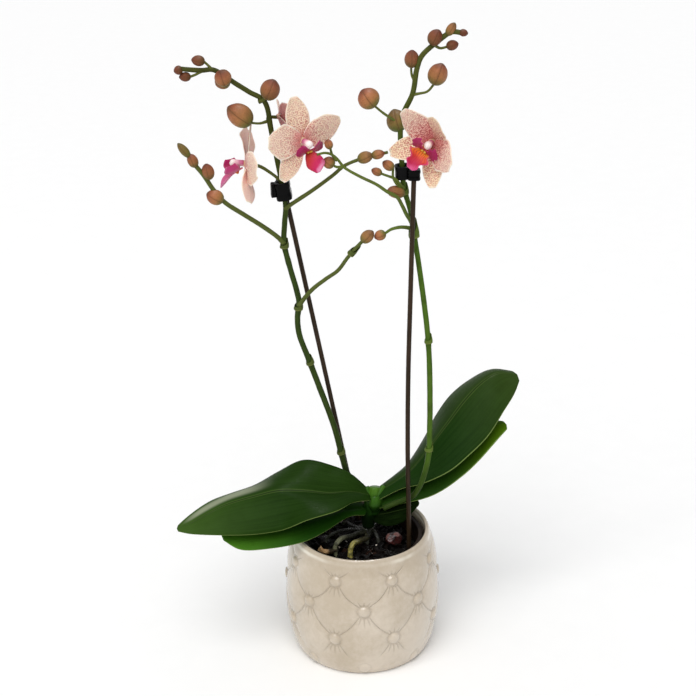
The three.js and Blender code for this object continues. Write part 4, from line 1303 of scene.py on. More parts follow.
@dataclass
class Bark:
    """The potting bark: a rough fill, and loose chips tumbled over its top."""

    cup: NurseryPot
    bottom: float = 7.8
    top: float = 79.5
    reach: float = 41.0
    slack: float = 0.4
    rough: float = 2.2
    chips: int = 330
    grit: int = 16
    grit_size: Triple = (1.3, 1.0, 0.9)
    skew: float = 0.14
    broken: float = 0.16
    seed: int = 5

    def fill(self, weave: Weave) -> None:
        """Fills the cup up to just below the chips.

        Args:
            weave: The mesh that the fill joins.
        """
        def place(along: float, across: float) -> Vector:
            """Runs from the middle of the top, over the edge and down to the middle of the bottom."""
            turn = 2 * math.pi * across
            z = blend(self.top, self.bottom, min(max((along - 0.5) / 0.35, 0.0), 1.0))
            radius = (self.cup.inside(z) - self.slack) * min(along / 0.5, (1 - along) / 0.15, 1.0)
            point = Vector((radius * math.cos(turn), radius * math.sin(turn), z))
            if along < 0.5:
                point.z += self.rough * noise.noise(point / 5)
            return point

        weave.grid(72, 40, place, tone=0.2, closed=True)

    def chip(self, weave: Weave, draw: random.Random, number: int) -> None:
        """Lays one chip: a block with skewed corners and broken edges.

        Args:
            weave: The mesh it joins.
            draw: Where its chances come from.
            number: Its number. The first ones are pale grit.
        """
        pale = number < self.grit
        share = (number + 0.5) / self.chips
        turn = number * math.pi * (3 - math.sqrt(5))
        out = (self.reach - 3.5) * math.sqrt((share * 7.13) % 1.0)
        size = self.grit_size if pale else (draw.uniform(5, 11), draw.uniform(3.5, 7), draw.uniform(1.8, 4.2))
        size = [edge * (0.75 if out > self.reach - 8 else 1.0) for edge in size]
        tip = 0.55 if number % 3 else 1.2
        lean = Matrix.Identity(4)
        for axis, low, high in (("Z", 0, math.pi), ("Y", -tip, tip), ("X", -tip, tip)):
            lean = lean @ Matrix.Rotation(draw.uniform(low, high), 4, axis)
        lift = draw.uniform(0.0, 3.6) + self.rough * noise.noise(Vector((out * math.cos(turn), turn, 3)) / 9)
        height = self.top + lift + (1.5 if pale else 0.0)
        middle = Vector((out * math.cos(turn), out * math.sin(turn), height))
        place = Matrix.Translation(middle * MM) @ lean @ Matrix.Diagonal([*[edge * MM for edge in size], 1.0])
        corners = bmesh.ops.create_cube(weave.shape, size=1.0, matrix=place)["verts"]
        tone = 1.0 if pale else draw.uniform(0.0, 0.62) if number % 9 else draw.uniform(0.7, 0.92)
        for corner in corners:
            corner.co += Vector([draw.uniform(-1, 1) for _ in range(3)]) * (self.skew * min(size) * MM)
            corner[weave.tone] = tone
        for face in weave.bevel(corners, self.broken * min(size), 1):
            for corner in face.verts:
                corner[weave.tone] = tone

    def build(self) -> None:
        """Fills the cup and tumbles the chips over it."""
        weave, draw = Weave(), random.Random(self.seed)
        self.fill(weave)
        for number in range(self.chips):
            self.chip(weave, draw, number)
        Spot("potting_bark", "bark").settle("bark_bed", weave.shape, [BarkFinish("bark_damp")])


@dataclass
class Nugget:
    """The red-brown lump of bark that lies on the bed."""

    middle: Triple = (24.0, -3.5, 87.5)
    size: Triple = (6.6, 5.6, 5.4)
    turn: float = 0.4
    facets: int = 13
    seed: int = 3

    def build(self) -> None:
        """Breaks flat faces into a ball and places it."""
        shape = bmesh.new()
        corners = bmesh.ops.create_icosphere(shape, subdivisions=5, radius=1.0)["verts"]
        draw = random.Random(self.seed)
        for _ in range(self.facets):
            way = Vector([draw.gauss(0, 1) for _ in range(3)]).normalized()
            depth = draw.uniform(0.72, 0.93)
            for corner in corners:
                corner.co -= way * max(corner.co.dot(way) - depth, 0.0) * 0.93
        for corner in corners:
            corner.co *= 1 + 0.05 * noise.noise(corner.co * 5)
        place = Matrix.Translation(Vector(self.middle) * MM) @ Matrix.Rotation(self.turn, 4, "Z")
        place = place @ Matrix.Diagonal([*[reach * MM for reach in self.size], 1.0])
        bmesh.ops.transform(shape, matrix=place, verts=corners)
        for face in shape.faces:
            face.smooth = True
        Spot("bark_nugget", "nugget").settle("nugget_lump", shape, [NuggetFinish("nugget_red")])


@dataclass(frozen=True)
class Root:
    """One root: its radius at both ends, its tone and its points."""

    radius: tuple[float, float]
    tone: float
    points: tuple[Triple, ...]


ROOTS = (
    Root((2, 1.7), 0.5, ((3, 6, 88), (-3, 1, 89.5), (-8, -6.5, 92), (-14, -10.5, 93), (-18.5, -15.5, 91.5),
                         (-20, -16.5, 86), (-19, -17, 80))),
    Root((2.1, 1.9), 0.96, ((5, 4, 88), (3, -7, 90), (-2, -15.5, 93.3), (-6.5, -19.5, 93), (-8.3, -22, 90),
                            (-8.5, -24.5, 84), (-8.5, -25, 78))),
    Root((1.5, 1.1), 0.12, ((3, 9, 90), (-5, 9.5, 90.5), (-9, 14, 90.5), (-13, 21, 87), (-15, 24, 79))),
    Root((1.4, 1.1), 0.16, ((4, 7, 89), (-9, 5, 91), (-20, 0, 91), (-26, -4, 88.5), (-27, -9, 80))),
    Root((2, 1.6), 0.2, ((5.5, 6, 90), (5.5, 1, 90.5), (4, -4, 87.5), (3, -8, 79))),
    Root((1.6, 1.3), 0.08, ((7, 6, 90), (10, 1, 90.5), (12, -3, 87.5), (13.5, -7, 79))),
    Root((1.6, 1.2), 0.3, ((7, 10, 90), (14, 14, 91), (20, 20, 88), (22, 23, 79))),
    Root((1.5, 1.2), 0.3, ((5, 11, 90), (4, 18, 91), (10, 25, 87), (12, 28, 79))),
)
TORN_ROOT = Root((1.3, 2.3), 0.8, ((-19.5, -17, 86.5), (-22, -20, 87.5), (-26, -23, 88.5),
                                   (-31.5, -23.5, 92)))
ROOT_COLLAR = Root((4.2, 5), 0.1, ((5, 8, 74), (5, 8, 84), (5, 8, 91.7)))


@dataclass
class Roots:
    """Aerial roots that come from under the crown, over the bark and into it."""

    sides: int = 16
    step: float = 0.9

    def lay(self, weave: Weave, root: Root, rough: float, flat: float = 1.0) -> None:
        """Lays one root.

        Args:
            weave: The mesh it joins.
            root: Which root.
            rough: How uneven its skin is, as a share of its radius.
            flat: How flat its far end is pressed; 1 is round.
        """
        route = Route(root.points)

        def reach(along: float, across: float) -> float:
            """Swells and narrows the root along its way."""
            turn = 2 * math.pi * across
            where = Vector((math.cos(turn), math.sin(turn), along * route.length / 4 + root.points[0][0]))
            press = blend(1.0, flat + (1 - flat) * abs(math.cos(turn)), ease(0.4, 0.9, along))
            return blend(*root.radius, along) * (1 + rough * noise.noise(where)) * press

        weave.tube(route, reach, self.sides, max(int(route.length / self.step), 6), root.tone)

    def build(self) -> None:
        """Lays every root, the torn one and the collar they grow from."""
        weave = Weave()
        for root in ROOTS:
            self.lay(weave, root, 0.22)
        self.lay(weave, TORN_ROOT, 0.75, 0.4)
        self.lay(weave, ROOT_COLLAR, 0.3)
        Spot("aerial_roots", "root").settle("roots_aerial", weave.shape, [RootFinish("root_skin")])


@dataclass(frozen=True)
class Sheath:
    """A young sheath: its radius at foot, middle and tip, its tone at both ends and its points."""

    radius: Triple
    tone: tuple[float, float]
    points: tuple[Triple, ...]


SHEATHS = (
    Sheath((5.2, 4.6, 1.6), (0.3, 0.7), ((7.5, 8, 104), (6.8, 7.6, 112), (6.2, 8.2, 118), (4.4, 9.6, 124.8))),
    Sheath((5.0, 4.6, 1.8), (0.3, 0.75), ((9, 8, 104), (11.2, 7.8, 112), (13.4, 8.6, 118), (17, 10.6, 125))),
    Sheath((4.6, 5.2, 4.4), (0.3, 0.82), ((8.6, 9, 106), (9.2, 8.6, 113), (10, 9, 119), (10.6, 10, 124.2))),
    Sheath((2.2, 5.2, 4.4), (0.25, 0.7),
           ((9.4, 5.4, 106.5), (10, 4.6, 110), (10.4, 4.8, 114), (10.6, 6.4, 118.5))),
)


@dataclass
class Crown:
    """The short stem of the plant, and the young sheaths that part above it."""

    rings: tuple[tuple[Triple, float, float], ...] = (
        ((5, 8, 92), 4.4, 4.4), ((5.5, 8, 100), 5.6, 5.0), ((7, 8, 108), 6.6, 5.2), ((9, 7.8, 116), 5.0, 4.4),
    )

    def stem(self, weave: Weave) -> None:
        """Makes the stem from its rings.

        Args:
            weave: The mesh it joins.
        """
        route = Route(tuple(centre for centre, _, _ in self.rings))
        wide = Route(tuple((across, deep, 0.0) for _, across, deep in self.rings))

        def place(along: float, across: float) -> Vector:
            """Puts a corner on the stem."""
            inner = min(max((along - 0.03) / 0.94, 0.0), 1.0)
            turn, size = 2 * math.pi * across, wide.at(inner)
            closing = 0.0 if along in (0.0, 1.0) else 1.0
            return route.at(inner) + closing * Vector((size.x * math.cos(turn), size.y * math.sin(turn), 0))

        for corner in weave.grid(28, 24, place, closed=True):
            corner[weave.tone] = blend(0.0, 0.45, ease(100, 113, corner.co.z / MM))

    def sheath(self, weave: Weave, spec: Sheath) -> None:
        """Adds one sheath, folded along a keel.

        Args:
            weave: The mesh it joins.
            spec: Which sheath.
        """
        def reach(along: float, across: float) -> float:
            """Swells from the foot to the middle, narrows to the tip and follows the keel."""
            foot, middle, tip = spec.radius
            plain = blend(blend(foot, middle, min(along * 2, 1)), tip, max(along * 2 - 1, 0))
            return plain * (1 + 0.1 * math.cos(4 * math.pi * across))

        low, high = spec.points[0][2], spec.points[-1][2]
        for corner in weave.tube(Route(spec.points), reach, 24, 22):
            corner[weave.tone] = blend(*spec.tone, ease(low, high, corner.co.z / MM))

    def build(self) -> None:
        """Makes the stem and its sheaths."""
        weave = Weave()
        self.stem(weave)
        for spec in SHEATHS:
            self.sheath(weave, spec)
        Spot("crown", "young").settle("crown_sheaths", weave.shape, [YoungGreen("sheath_green")])


UNDERSIDE = LeafFinish("leaf_underside", "48662f", "48662f", "527236", under=True)


@dataclass(frozen=True)
class Leaf:
    """One leaf between its near and far edges, arched on each side of its grooved rib."""

    name: str
    arch: float
    near: tuple[Triple, ...]
    rib: tuple[Triple, ...]
    far: tuple[Triple, ...]
    top: LeafFinish
    thickness: float = 1.7
    groove: float = 0.9
    waves: float = 0.5

    def build(self) -> None:
        """Lays the leaf's middle surface, thickens it and dresses both sides."""
        near, rib, far = Route(self.near), Route(self.rib), Route(self.far)
        rows = 6 * (len(self.rib) - 1)
        edges = [(near.at(row / rows), rib.at(row / rows), far.at(row / rows)) for row in range(rows + 1)]

        def place(along: float, across: float) -> Vector:
            """Puts a corner between the rib and an edge."""
            beside, middle, beyond = edges[round(along * rows)]
            side = 2 * across - 1
            reach = abs(side)
            point = middle.lerp(beside if side < 0 else beyond, reach)
            swell = math.sin(math.pi * along)
            wave = self.waves * noise.noise(Vector((along * 5, side * 1.5, len(self.name)))) * swell
            open_rib = ease(0, 0.1, along) * (1 - ease(0.85, 1, along))
            point.z += self.arch * swell * math.sin(math.pi * reach) + wave
            point.z -= self.groove * bell(side, 0.07) * open_rib
            return point

        weave = Weave()
        weave.grid(22, rows, place, front=Vector((0, 0, 1)))
        piece = Spot(self.name, "leaf").settle(f"{self.name}_blade", weave.shape, [self.top, UNDERSIDE])
        thicken(piece, self.thickness, back=1)


LEAVES = (
    Leaf(
        "leaf_left_upper", 2.2,
        ((7, 1, 118), (-6, -13, 124), (-18, -29, 126), (-39, -37, 123.5), (-57, -34, 114), (-77, -36, 111.5),
         (-96, -36, 111), (-113, -34, 110.5), (-125, -31, 110), (-133.5, -28, 110.5)),
        ((7, 6, 119), (-8, -2, 127), (-24, -8, 129), (-42, -11, 133), (-60, -13, 135), (-77, -15, 132),
         (-98, -18, 126.5), (-113, -21, 120), (-126, -24, 114), (-134.5, -26, 111.5)),
        ((6, 11, 121), (-8, 11, 135.5), (-22, 14, 141), (-42, 17, 144), (-61, 17, 134.5), (-80, 14, 124.5),
         (-97, 6, 122), (-111, -3, 121), (-124, -14, 117), (-134, -24, 112.5)),
        LeafFinish("leaf_dark", "1a310a", "1e350c", "3a5420", painted_reflection=0.75),
    ),
    Leaf(
        "leaf_left_lower", 1.8,
        ((3, 0, 106), (-8.5, -7, 109), (-26.5, -23, 106), (-44, -32, 102), (-66.5, -36, 99.5),
         (-88, -35, 98.5), (-101, -27, 102)),
        ((4, 5, 108), (-10, 0, 111), (-30, -8, 111), (-48, -13, 110), (-68, -15, 108.5), (-88, -18, 106),
         (-102.5, -24, 104)),
        ((4, 10, 109), (-12, 10, 113), (-32, 12, 112), (-50, 13, 110), (-68, 11, 108), (-87, 2, 107),
         (-102, -20, 105)),
        LeafFinish("leaf_fresh", "173a08", "173608", "47781f"),
    ),
    Leaf(
        "leaf_right_upper", 2.0,
        ((13, 3, 117), (30.5, 4.5, 125.5), (44, 5, 128.5), (65.5, 7, 138), (80.5, 12, 148.5), (95, 20, 160.5),
         (107, 32, 174.5), (116, 44, 183), (121, 56, 189)),
        ((12, 8, 120), (28, 12, 129), (38, 18, 134), (55, 27, 153), (66, 33, 166), (78, 40, 180),
         (92, 47, 192.5), (104, 53, 197), (120, 60, 192)),
        ((12, 13, 121), (26, 24, 126.5), (36, 34, 131), (50, 51, 145.5), (58, 60, 158), (70, 68, 172),
         (86, 71, 184), (101, 69, 192.5), (117, 64, 193)),
        # Its far half is lighter and greyer than its near half: painted reflection on the far half.
        LeafFinish("leaf_right_dark", "152f0a", "243815", "32451c"),
    ),
    Leaf(
        "leaf_right_lower", 1.6,
        ((10, 3, 109), (29, 5, 112), (48, 6.5, 116), (62.5, 10, 121.5), (78, 15, 131.5), (90, 20, 142),
         (102, 27, 153), (110.5, 34, 159.5)),
        ((9, 9, 112), (28, 14, 119), (43, 21, 124), (57, 28, 131), (71, 35, 140.5), (85, 41, 151),
         (98, 43, 159), (110.5, 38, 161)),
        ((8, 13, 112), (24, 26, 118), (38, 36, 123), (50, 44, 129.5), (63, 53, 139), (77, 57, 148),
         (92, 55, 156), (109, 42, 161.5)),
        LeafFinish("leaf_bright", "203f0c", "203c0c", "4a6a0c"),
    ),
    Leaf(
        "leaf_right_small", 1.2,
        ((9, 4, 98), (17, -3, 98.5), (25, -4, 99.5), (32.5, -2, 102.5), (43, 4.5, 111.5)),
        ((8, 8, 102), (17, 4, 104.5), (25, 3, 107), (34, 3, 109.5), (43.5, 6, 112.5)),
        ((8, 11, 102), (16, 13, 107.5), (25, 14, 110), (34, 12, 112), (43, 8, 113)),
        LeafFinish("leaf_shaded", "050c03", "050c03", "081204", "2a3a1a", gloss=0.0),
    ),
)


@dataclass(frozen=True)
class Stake:
    """A support cane."""

    name: str
    points: tuple[Triple, ...]
    radius: float = 1.7
    rounding: float = 1.6

    def build(self) -> None:
        """Makes the cane with its rounded ends."""
        route = Route(self.points)

        def reach(along: float, across: float) -> float:
            """Rounds off both ends."""
            end = min(along, 1 - along) * route.length
            return self.radius * min(1.0, 0.55 + 0.45 * math.sqrt(min(end / self.rounding, 1.0)))

        weave = Weave()
        weave.tube(route, reach, 16, int(route.length / 1.5))
        Spot(self.name, "stake").settle(f"{self.name}_cane", weave.shape, [CaneFinish("cane_brown")])


STAKE_LEFT = Stake("stake_left", ((4.6, 33.5, 44), (-2.4, 30.5, 84), (-46.8, 11, 338.5), (-58.2, 6, 404)))
STAKE_RIGHT = Stake("stake_right", ((34.8, -9, 46), (35.1, -8.3, 92), (34.1, -7.2, 165), (34.4, -6, 222),
                                    (36, -4.8, 290), (38.2, -3.2, 376)))


@dataclass(frozen=True)
class Branch:
    """A side branch: its radius at both ends and its points from the spike outwards."""

    radius: tuple[float, float]
    points: tuple[Triple, ...]


@dataclass(frozen=True)
class Bud:
    """A closed bud: its base, tip and largest radius, and how dark it is."""

    base: Triple
    tip: Triple
    radius: float
    tone: float = 0.0


@dataclass(frozen=True)
class Scale:
    """The scale that clasps a node of the spike: its base, tip and radius."""

    base: Triple
    tip: Triple
    radius: float


@dataclass
class Spike:
    """A flower spike: the main stem with its branches, flower stalks, scales and buds."""

    name: str
    radius: tuple[float, float]
    points: tuple[Triple, ...]
    branches: tuple[Branch, ...]
    stalks: tuple[Branch, ...]
    buds: tuple[Bud, ...]
    scales: tuple[Scale, ...]
    skin: StemFinish
    swelling: float = 0.18
    flare: float = 0.35
    green: float = 0.26
    scale_wall: float = 0.25

    @cached_property
    def route(self) -> Route:
        """The centre line of the main stem."""
        return Route(self.points)

    def stem(self, weave: Weave) -> None:
        """Makes the main stem, swollen a little at its nodes.

        Args:
            weave: The mesh it joins.
        """
        nodes = [self.route.nearest(scale.base) * self.route.length for scale in self.scales]

        def reach(along: float, across: float) -> float:
            """Swells at the nodes and wavers between them."""
            walked = along * self.route.length
            swell = sum(bell(walked - node, 3.0) for node in nodes) * self.swelling
            return blend(*self.radius, along) + swell + 0.1 * noise.noise(Vector((walked / 9, across, 0)))

        weave.tube(self.route, reach, 16, int(self.route.length / 1.6))

    def twig(self, weave: Weave, branch: Branch) -> None:
        """Makes one branch or stalk.

        Args:
            weave: The mesh it joins.
            branch: Which one.
        """
        route = Route(branch.points)

        def reach(along: float, across: float) -> float:
            """Flares where the branch leaves the stem."""
            walked = along * route.length
            waver = 0.07 * noise.noise(Vector((walked / 6, branch.points[0][0], 0)))
            return blend(*branch.radius, along) * (1 + self.flare * bell(walked, 2.5)) + waver

        weave.tube(route, reach, 12, max(int(route.length / 1.4), 5), tone=self.green)

    def scale(self, weave: Weave, spec: Scale) -> None:
        """Wraps a short pointed scale round a node.

        Args:
            weave: The mesh it joins.
            spec: Which scale.
        """
        base, tip = Vector(spec.base), Vector(spec.tip)
        axis = (tip - base).normalized()
        side = axis.orthogonal()
        height = (tip - base).length

        def place(along: float, across: float) -> Vector:
            """Clasps the stem, with one side drawn up to a point."""
            drawn = 0.35 + 0.65 * (0.5 + 0.5 * math.cos(2 * math.pi * across)) ** 2
            out = spec.radius * (0.76 + 0.07 * math.sin(math.pi * min(along * 1.3, 1.0)) - 0.06 * along)
            return base + axis * (height * along * drawn) + around(side, axis.cross(side), across) * out

        corners = weave.grid(20, 8, place)
        bmesh.ops.remove_doubles(weave.shape, verts=corners, dist=1e-7)
        for corner in [corner for corner in corners if corner.is_valid]:
            walked = (corner.co / MM - base).dot(axis) / height
            corner[weave.tone] = 0.2 + 0.35 * ease(0.5, 1.0, walked) + 0.6 * bell(walked - 0.03, 0.05)

    def bud(self, weave: Weave, spec: Bud) -> None:
        """Makes one bud with the seams of its three outer sepals.

        Args:
            weave: The mesh it joins.
            spec: Which bud.
        """
        base, tip = Vector(spec.base), Vector(spec.tip)
        axis = (tip - base).normalized()
        side = (Vector((0, -1, 0)) - axis * -axis.y).normalized()
        length = (tip - base).length
        fine = 32 if spec.radius > 4 else 20

        def place(along: float, across: float) -> Vector:
            """Puts a corner on the egg, drawn in along the seams."""
            grown = max(4.2 * along ** 0.88 * (1 - along ** 0.88), 0) ** 0.6
            grown *= 1 - 0.16 * ease(0.78, 1.0, along)
            seam = abs((across * 3 + 0.5) % 1.0 - 0.5)
            crease = 0.075 * bell(seam, 0.05) * ease(0.1, 0.4, along)
            out = spec.radius * grown * (1 + 0.035 * math.cos(6 * math.pi * across) - crease)
            return base + axis * (length * along) + around(side, axis.cross(side), across) * out

        weave.grid(fine + fine // 2, fine, place, tone=spec.tone, closed=True)

    def build(self) -> None:
        """Makes the green parts as one piece, the scales as another and the buds as a third."""
        green, scales, buds = Weave(), Weave(), Weave()
        self.stem(green)
        for branch in (*self.branches, *self.stalks):
            self.twig(green, branch)
        for spec in self.scales:
            self.scale(scales, spec)
        for spec in self.buds:
            self.bud(buds, spec)
        Spot(self.name, "stem").settle(f"{self.name}_stem", green.shape, [self.skin])
        wraps = Spot(self.name, "stem").settle(f"{self.name}_scales", scales.shape, [self.skin])
        thicken(wraps, self.scale_wall)
        Spot(self.name, "stem").settle(f"{self.name}_buds", buds.shape, [BudFinish("bud_terracotta")])


@dataclass(frozen=True)
class Tepal:
    """A sepal or petal in the flower's own frame, and how it is laid."""

    turn: float
    length: float
    width: float
    layer: float
    cup: float
    ruffle: float
    root: float = 1.8

    def half(self, along: float) -> float:
        """Gives half its width at a share of its length."""
        plain = 0.12 * (1 - along) + math.sin(math.pi * (0.05 + 0.88 * along)) ** 0.8
        return self.width / 2 * plain

    def place(self, lean: float, twist: float, phase: float) -> Place:
        """Gives the tepal's surface.

        Args:
            lean: Degrees that it leans forwards.
            twist: Degrees that it is twisted at its tip.
            phase: Where its waves start.

        Returns:
            The place of a point from its shares along and across.
        """
        angle = math.radians(self.turn)

        def surface(along: float, across: float) -> Vector:
            """Puts a point of the tepal in the flower's frame."""
            side = 2 * across - 1
            tilt = math.radians(lean) * min(1.0, 0.55 + 0.6 * along)
            spun = math.radians(twist) * math.sin(math.pi * along / 2)
            out = (self.root + (self.length - self.root) * along) * math.cos(tilt)
            scallop = 1 + (0.035 * math.sin(11 * along + phase) if self.ruffle else 0.0) * abs(side)
            reach = side * self.half(along) * scallop
            wide = reach * math.cos(spun)
            wave = self.ruffle * side * side * along * math.sin(5 * along + side) + reach * math.sin(spun)
            frill = 0.55 * self.ruffle * side ** 4 * math.sin(17 * along + 2 * phase) * ease(0, 0.3, along)
            keel = -0.35 * bell(side, 0.1) * (1 - along)
            cupped = self.cup * self.width * side * side * along
            lift = self.layer + self.length * along * math.sin(tilt) + cupped + wave + frill + keel
            x, y = out * math.cos(angle), out * math.sin(angle)
            return Vector((x - wide * math.sin(angle), y + wide * math.cos(angle), lift))

        return surface


TEPALS = {
    "top": Tepal(90, 30, 17, -0.9, 0.05, 0),
    "lowLeft": Tepal(224, 30, 15, -0.9, 0.05, 0),
    "lowRight": Tepal(316, 30, 15, -0.9, 0.05, 0),
    "right": Tepal(16, 29, 22, 0.9, -0.02, 0.8),
    "left": Tepal(164, 29, 22, 0.9, -0.02, 0.8),
}


@dataclass(frozen=True)
class Dress:
    """The finishes of an open flower, and whether its lip is ripe and its side lobes broad."""

    petal: TepalFinish
    sepal: TepalFinish
    back: TepalFinish
    tongue: LipFinish
    side: LipFinish
    ripe: bool = False
    broad: bool = False


PETAL = TepalFinish("petal_cream0", "f4dcc2", "e09a90", "b84a4c", 18.0, 25.0, 0.38, 0.8)
SEPAL = TepalFinish("sepal_cream0", "f2dabc", "dc9088", "b03c42", 13.0, 25.0, 0.39, 0.78, 0.5)
TEPAL_BACK = TepalFinish("tepal_back", "ecc8b8", "c4766e", "b05a58", 15.0, 24.0, 0.3, 0.4, 0.9)
NECK = TepalFinish("neck_pink", "d9b08c", "c07f78", "a9596a", 12.0, 10.0, 0.3, 0.4)
LIP_INNER = LipFinish(
    "lip_side_inner", ((0.0, "d8662c"), (0.2, "b0203c"), (0.55, "9c1648"), (1.0, "b01c5e")), "bc3478",
)
LIP_UNDER = LipFinish("lip_under", ((0.0, "e8b070"), (0.35, "dc7094"), (1.0, "cc5c94")), "e48cb4")
CALLUS = LipFinish(
    "callus_yellow", ((0.0, "c8323c"), (0.35, "e07a2c"), (0.7, "ecb23c"), (1.0, "f3cf6a")), "eab04a",
)
COLUMN = LipFinish(
    "column_white", ((0.0, "b23a68"), (0.3, "d07a9c"), (0.5, "efc0cc"), (0.72, "fbeee8")), "f8e8e4",
    striped=0.06,
)


class Look(Enum):
    """The looks that the open flowers have between them."""

    FRESH = Dress(
        PETAL, SEPAL, TEPAL_BACK,
        LipFinish("lip_tongue0", (
            (0.0, "e0882c"), (0.2, "a01c1e"), (0.4, "cc3c2c"),
            (0.64, "d03450"), (0.86, "cc2462"), (1.0, "e48cb0"),
        ), "b01a4e", 0.45, 0.35),
        LipFinish("lip_side_outer0", (
            (0.0, "e0a070"), (0.3, "d8a0bc"), (0.7, "e0b0cc"), (1.0, "e6c4d8"),
        ), "efd0e0"),
    )
    # Darker, redder tepal backs for the half-hidden flower: painted shade.
    SHADED_BACK = replace(
        FRESH, back=TepalFinish("tepal_back_shaded", "dc9488", "b4484c", "8f2f3a", 15.0, 24.0, 0.34, 0.6, 0.95),
    )
    RIPE = Dress(
        TepalFinish("petal_cream1", "f8e2ca", "e2827e", "b84a4c", 18.0, 25.0, 0.44, 1.0, 0.85),
        TepalFinish("sepal_cream1", "f4deb8", "dc9088", "b03c42", 13.0, 25.0, 0.44, 1.0, 0.65),
        TEPAL_BACK,
        LipFinish("lip_tongue1", (
            (0.0, "f0a028"), (0.34, "f0942a"), (0.48, "e2602a"),
            (0.62, "c4302e"), (0.82, "b81e4a"), (1.0, "d8568a"),
        ), "d4508a", 0.05, 0.9, 9.0),
        LipFinish("lip_side_outer1", (
            (0.0, "e8823c"), (0.3, "cc4c84"), (0.7, "b8286c"), (1.0, "c03c80"),
        ), "dc6aa4"),
        ripe=True,
    )
    BROAD = Dress(
        PETAL, SEPAL, TEPAL_BACK,
        LipFinish("lip_tongue2", (
            (0.0, "e0883c"), (0.25, "cc4c54"), (0.5, "cc5884"), (0.8, "d0709c"), (1.0, "e098b8"),
        ), "dc80a8", 0.45, 0.35),
        LipFinish("lip_side_outer2", (
            (0.0, "e0905c"), (0.3, "d4789c"), (0.65, "c84c84"), (1.0, "c43a78"),
        ), "e28cb4"),
        broad=True,
    )


